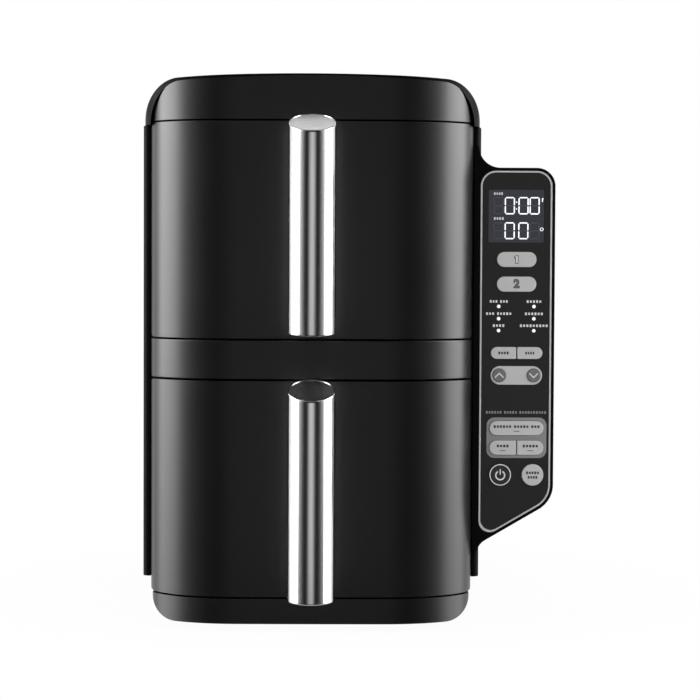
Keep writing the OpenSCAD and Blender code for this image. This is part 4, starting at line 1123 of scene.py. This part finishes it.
    def _plate(self, name: str, shape: tuple[float, ...], finish: Finish, keys: tuple[str, ...]) -> None:
        """Builds a thin plate behind some of the keys."""
        plate = slab(round_rect(*shape), self.face - self.plate_proud, self.face)
        for key in keys:
            cut(plate, self._through(KEYS[key].outline(self.key_gap)))
        settle(smooth(plate), f"{name}_plate", "key_plastic", finish=finish)

    def _display(self) -> None:
        """Builds the display's lens, its digits and its two small labels."""
        x, z, w, h = self.display
        pane = round_rect(x, z, w - 2 * self.gap, h - 2 * self.gap, self.display_r)
        lens = soften(slab(pane, self.face, self.face + self.overlay_t), 0.2, 2)
        settle(smooth(lens), "display_glass_pane", "lens", "display_lens")
        lit: list[Solid] = []
        dim: list[Solid] = []
        for low, high, text in self.digit_rows:
            for left, sign in zip(self.digit_xs, text):
                self._digit((left, low), (self.digit_w, high - low), sign == "0", lit, dim)
        for z in self.colon_zs:
            lit.append(self._raised(round_rect(self.colon_x, z, 0.9, 0.9, 0.4, 4)))
        lit.append(self._raised(SMALL_STROKE))
        ring = self._raised(arc(*self.degree, self.degree_r, 0, 345, 22))
        hole = drum(self.degree, self.degree_hole_r, self.face - PAST, self.face + PAST, corners=24)
        lit.append(cut(ring, hole))
        labels = [self._raised(tick) for label in self.display_labels for tick in self._ticks(*label, (4,))]
        settle(gather(labels), "display_label_ticks", "light_pipe", finish=PRINT)
        settle(gather(lit), "display_segments_lit", "light_pipe", finish=LIT)
        settle(gather(dim), "display_segments_unlit", "lens", finish=GHOST)

    def _ticks(self, x: float, z: float, width: float, groups: tuple[int, ...]) -> list[Outline]:
        """Gives a row of short upright ticks, which stands for a small label.

        Args:
            x: The row's middle.
            z: Its middle height.
            width: Its width.
            groups: How many ticks each group has.

        Returns:
            The ticks' outlines.
        """
        pitch = width / (sum(groups) + self.tick_gap * (len(groups) - 1))
        left = x - width / 2
        shapes = []
        for count in groups:
            for i in range(count):
                tall = self.tick_h * self.tick_rises[i % len(self.tick_rises)]
                shapes.append(round_rect(left + 0.5 * pitch, z, self.tick_w * pitch, tall, self.tick_r, 2))
                left += pitch
            left += self.tick_gap * pitch
        return shapes

    def _raised(self, outline: Outline, height: float = 0.1) -> Solid:
        """Makes a thin raised mark on the panel's face."""
        return slab(outline, self.face - height, self.face + self.mark_sink)

    def _digit(self, corner: Point, size: Point, on: bool, lit: list[Solid], dim: list[Solid]) -> None:
        """Makes the seven bars of one digit, which shows a nought or nothing.

        Args:
            corner: The digit's lower left corner.
            size: Its width and height.
            on: Whether it shows a nought.
            lit: The list that the lit bars go to.
            dim: The list that the unlit bars go to.
        """
        (left, low), (w, h), t, gap = corner, size, self.stroke / 2, self.stroke_gap
        near, far, middle = t + gap, w - t - gap, h / 2
        bars = {
            "a": ((near, h - t), (far, h - t)),
            "g": ((near, middle), (far, middle)),
            "d": ((near, t), (far, t)),
            "f": ((t, middle + gap), (t, h - t - gap)),
            "b": ((w - t, middle + gap), (w - t, h - t - gap)),
            "e": ((t, t + gap), (t, middle - gap)),
            "c": ((w - t, t + gap), (w - t, middle - gap)),
        }
        for name, (p, q) in bars.items():
            a, b = Vector(p), Vector(q)
            d = (b - a).normalized() * t
            n = Vector((-d.y, d.x))
            shape = [(left + c.x, low + c.y) for c in (a, a + d + n, b - d + n, b, b - d - n, a + d - n)]
            if on and name != "g":
                lit.append(self._raised(shape))
            else:
                dim.append(self._raised(shape, 0.06))

    def _light_spots(self) -> list[Point]:
        """Gives the places of the indicator lights."""
        return [(x, z) for x in self.light_xs for z in self.light_zs]

    def _lights(self) -> None:
        """Builds the six small indicator lights."""
        near, far = self.face - self.gap, self.board_face
        pipes = [soften(drum(spot, self.light_r, near, far, corners=24), 0.4) for spot in self._light_spots()]
        settle(smooth(gather(pipes)), "mode_light_pipes", "light_pipe", "mode_lights")

    def _key(self, key: Key) -> None:
        """Builds one key with softly rounded edges, its shelf and its stem."""
        shelf = self.face + self.overlay_t + self.shelf_gap
        cap = soften(slab(key.outline(0), self.key_face, shelf + self.shelf_t), 0.45)
        near, far = shelf + self.shelf_t / 2, self.board_face - self.stem_gap
        combine(cap, drum((key.x, key.z), self.stem_r, near, far, corners=24), Join.ADD)
        key.settle(smooth(cap), f"{key.name}_key_cap", key.finish, f"{key.name}_key")

    def _mark(self, outline: Outline, height: float = 0.08) -> Solid:
        """Makes a thin raised mark on a key's face."""
        return slab(outline, self.key_face - height, self.key_face + self.key_mark_sink)

    def _prints(self) -> None:
        """Builds the neutral marks on the keys and the overlay."""
        self._one(KEYS["drawer_1"])
        self._two(KEYS["drawer_2"])
        for name, sign in (("up", 1), ("down", -1)):
            key = KEYS[name]
            key.settle(self._mark(self._chevron(key, sign)), f"{name}_chevron", PRINT)
        for name, rows in LABELS.items():
            key = KEYS[name]
            marks: list[Outline] = []
            for lift, width, groups in rows:
                marks += self._ticks(key.x, key.z + lift, width, groups)
            if name in ("stack", "sync", "match"):
                marks.append(round_rect(key.x, key.z - self.dash_drop, *self.dash, 4))
            key.settle(gather([self._mark(mark) for mark in marks]), f"{name}_mark", PRINT_DARK)
        self._power_marks(KEYS["power"])
        self._overlay_ticks()

    def _one(self, key: Key) -> None:
        """Puts the numeral 1 on a key."""
        looks = (("edge", 0.05, ONE_EDGE, PRINT_DARK), ("face", 0.1, ONE_FACE, PRINT))
        for kind, height, outline, finish in looks:
            numeral = self._mark([(key.x + x, key.z + z) for x, z in outline], height)
            key.settle(numeral, f"{key.name}_numeral_{kind}", finish)

    def _two(self, key: Key) -> None:
        """Puts the numeral 2 on a key."""
        upright = Matrix.Translation((key.x, self.key_face, key.z)) @ Matrix.Rotation(math.pi / 2, 4, "X")
        for kind, grow, height, finish in (("edge", 0.5, 0.05, PRINT_DARK), ("face", 0.05, 0.1, KEY_DARK)):
            bpy.ops.object.select_all(action="DESELECT")
            bpy.ops.object.text_add()
            text = bpy.context.object
            text.data.body = "2"
            text.data.size = 8.0
            text.data.align_x = "CENTER"
            text.data.align_y = "CENTER"
            text.data.extrude = height
            text.data.offset = grow
            take(text)
            bpy.ops.object.convert(target="MESH")
            numeral = bpy.context.object
            numeral.data.transform(upright)
            key.settle(numeral, f"{key.name}_numeral_{kind}", finish)

    def _chevron(self, key: Key, sign: int) -> Outline:
        """Gives a chevron that points up for 1 and down for -1."""
        w, rise, t = 3.0, 2.9, 1.1
        low, high = key.z - sign * (rise + t) / 2, key.z + sign * (rise - t) / 2
        lower = [(key.x - w, low), (key.x, high), (key.x + w, low)]
        return lower + [(x, z + sign * t) for x, z in reversed(lower)]

    def _power_marks(self, key: Key) -> None:
        """Builds the power key's thin ring and its broken circle with a bar."""
        face, middle = self.key_face, (key.x, key.z - 0.3)
        ring = slab(arc(key.x, key.z, self.ring_r, 0, 359, 64)[:-1], face - 0.08, face + 0.3)
        cut(ring, drum((key.x, key.z), self.ring_hole_r, face - PAST, face + PAST))
        first, last = 90 + self.sign_gap, 450 - self.sign_gap
        sign = arc(*middle, self.sign_r, first, last, 30) + arc(*middle, self.sign_hole_r, last, first, 30)
        bar = round_rect(key.x, key.z + 2.1, 0.8, 4.0, 0.35, 4)
        key.settle(gather([ring, self._mark(sign), self._mark(bar)]), "power_marks", PRINT)

    def _overlay_ticks(self) -> None:
        """Builds the rows of ticks over the lights and the key group."""
        shapes: list[Outline] = []
        for (i, j), (width, groups) in LIGHT_LABELS.items():
            shapes += self._ticks(self.light_xs[i], self.light_zs[j] + self.tick_lift, width, groups)
        over_group = self._ticks(*self.group_label, (6, 5, 10))
        for name, ticks, finish in (("mode", shapes, PRINT), ("group", over_group, PRINT_DIM)):
            marks = gather([self._raised(tick, 0.06) for tick in ticks])
            settle(marks, f"{name}_ticks", "light_pipe", finish=finish)


# ---------------------------------------------------------------- CAD nodes, studio and camera


def dress_cad_nodes() -> None:
    """Gives every CAD node the finish of its material slot."""
    slots = {part["node"]: part["material_slot"] for part in frame["record"]["subparts"]}
    for name, node in frame["nodes"].items():
        material = SLOT_FINISHES[slots[name]].make()
        if not node.data.materials:
            node.data.materials.append(material)
        for slot in node.material_slots:
            slot.material = material


@dataclass
class Studio:
    """A plain white studio: floor, world and soft lights."""

    world_fill: float = 0.55
    side_power: float = 16.0
    top_power: float = 8.0
    band_level: float = 9.0
    card_level: float = 0.66
    white: tuple[float, ...] = (1, 1, 1, 1)
    floor_colour: tuple[float, ...] = (0.86, 0.86, 0.86, 1)
    floor_size: float = 7.0
    aim: Triple = (0.0, 0.0, 0.2)

    def build(self) -> None:
        """Builds the floor, the world and the lights."""
        self._floor()
        self._world()
        self._softbox("side_left", (-1.46, -0.36, 0.5), (0.66, 1.0), self.side_power)
        self._softbox("side_right", (1.46, -0.36, 0.5), (0.66, 1.0), self.side_power)
        self._softbox("top", (0.0, -0.2, 1.7), (1.2, 0.8), self.top_power)

    def _softbox(self, name: str, spot: Triple, size: Point, power: float) -> None:
        """Adds a soft rectangular light that looks at the object's middle."""
        bpy.ops.object.light_add(type="AREA", location=spot)
        lamp = bpy.context.object
        lamp.name = name
        lamp.data.shape = "RECTANGLE"
        lamp.data.size, lamp.data.size_y = size
        lamp.data.energy = power
        lamp.rotation_euler = (Vector(self.aim) - Vector(spot)).to_track_quat("-Z", "Y").to_euler()
        lamp.visible_camera = False
        lamp.visible_glossy = False

    def _floor(self) -> None:
        """Adds the pale floor, which keeps the object's shadow."""
        bpy.ops.object.select_all(action="DESELECT")
        bpy.ops.mesh.primitive_grid_add(x_subdivisions=4, y_subdivisions=4, size=self.floor_size)
        floor = bpy.context.object
        floor.name = "floor"
        material = bpy.data.materials.new("floor_white")
        material.use_nodes = True
        nodes = Wiring(material.node_tree)
        matt = material.node_tree.nodes["Principled BSDF"]
        nodes.feed(matt, {"Base Color": self.floor_colour, "Roughness": 0.9, "Specular IOR Level": 0.0})
        rays = nodes.add("LightPath", {}).outputs
        place = nodes.add("TexCoord", {}).outputs["Object"]
        far = nodes.add("VectorMath", {0: place}, operation="LENGTH").outputs["Value"]
        share = nodes.maths("MULTIPLY", rays["Is Camera Ray"], nodes.ramp(far, 0.18, 0.45, 0.965, 1.0))
        seen = nodes.blend(share, matt, nodes.add("Emission", {}))
        unseen = nodes.blend(rays["Is Glossy Ray"], seen, nodes.add("BsdfTransparent", {}))
        nodes.feed(material.node_tree.nodes["Material Output"], {"Surface": unseen.outputs[0]})
        floor.data.materials.append(material)

    def _world(self) -> None:
        """Makes a world that is white behind the object, and dim in front for what mirrors it."""
        world = bpy.data.worlds.new("studio")
        bpy.context.scene.world = world
        world.use_nodes = True
        world.node_tree.nodes.clear()
        nodes = Wiring(world.node_tree)
        ramp, maths = nodes.ramp, nodes.maths
        place = nodes.add("TexCoord", {}).outputs["Generated"]
        axes = nodes.add("SeparateXYZ", {0: place}).outputs
        height = axes["Z"]
        around = maths("ABSOLUTE", maths("ARCTAN2", axes["X"], maths("MULTIPLY", axes["Y"], -1.0)))

        # A bright band at each side, what is behind the object, and a faint card ahead of it
        rise = ramp(around, 0.45, 1.13, 0.0, 1.1, even=True)
        band = maths("ADD", maths("MULTIPLY", rise, rise), ramp(around, 1.08, 1.26, 0.0, self.band_level))
        for fade in (
            ramp(around, 1.85, 2.0, 1.0, 0.0), ramp(height, -0.3, 0.2, 0.0, 1.5, even=True),
            ramp(axes["X"], -0.3, 0.3, 1.0, 0.86), ramp(height, 0.6, 0.8, 1.0, 0.1),
        ):
            band = maths("MULTIPLY", band, fade)
        behind = maths("MULTIPLY", ramp(around, 1.45, 1.75, 0.0, 1.0), ramp(height, 0.68, 0.78, 1.0, 0.06))
        card = maths("MULTIPLY", ramp(height, -0.22, -0.14, 0.1, 1.0), ramp(height, 0.10, 0.18, 1.0, 0.1))
        card = maths("MULTIPLY", ramp(around, 0.05, 0.40, self.card_level, 0.03), card)
        mirrored = maths("MAXIMUM", maths("MAXIMUM", behind, band), card)

        rays = nodes.add("LightPath", {}).outputs
        shiny = maths("MAXIMUM", rays["Is Glossy Ray"], rays["Is Transmission Ray"])
        plain = nodes.add("Background", {"Color": self.white, "Strength": self.world_fill})
        mirror = nodes.add("Background", {"Color": self.white, "Strength": mirrored})
        unseen = nodes.blend(shiny, plain, mirror)
        seen = nodes.blend(rays["Is Camera Ray"], unseen, nodes.add("Background", {"Color": self.white}))
        nodes.add("OutputWorld", {"Surface": seen.outputs[0]})
        world.cycles.sampling_method = "NONE"


@dataclass
class Viewpoint:
    """The camera, level with the upper drawer and turned very slightly to the panel's side."""

    spot: Triple = (-0.0232, -1.7207, 0.261)
    yaw: float = 0.871
    pitch: float = 2.44
    roll: float = 0.275
    lens: float = 116.2
    sensor: float = 36.0
    near: float = 0.05
    far: float = 50.0

    def build(self) -> None:
        """Adds the camera and makes it the scene's."""
        bpy.ops.object.camera_add(location=self.spot)
        camera = bpy.context.object
        yaw, pitch, roll = (math.radians(a) for a in (self.yaw, self.pitch, self.roll))
        forward = Vector((math.sin(yaw) * math.cos(pitch), math.cos(yaw) * math.cos(pitch), -math.sin(pitch)))
        right = Vector((math.cos(yaw), -math.sin(yaw), 0.0))
        up = right.cross(forward)
        across = right * math.cos(roll) + up * math.sin(roll)
        above = up * math.cos(roll) - right * math.sin(roll)
        camera.rotation_euler = Matrix((across, above, -forward)).transposed().to_euler()
        camera.data.lens = self.lens
        camera.data.sensor_width = self.sensor
        camera.data.clip_start = self.near
        camera.data.clip_end = self.far
        bpy.context.scene.camera = camera
        bpy.context.scene.view_settings.view_transform = "Standard"


def main() -> None:
    """Builds the camera, the studio and every visible piece, in order."""
    logging.basicConfig(level=logging.INFO, format="%(name)s %(message)s")
    Viewpoint().build()
    Studio().build()
    dress_cad_nodes()
    Bezel().build()
    Case().build()
    for name, low in DRAWER_LOWS.items():
        Drawer(name, low).build()
    ControlPanel().build()


if __name__ == "__main__":
    main()
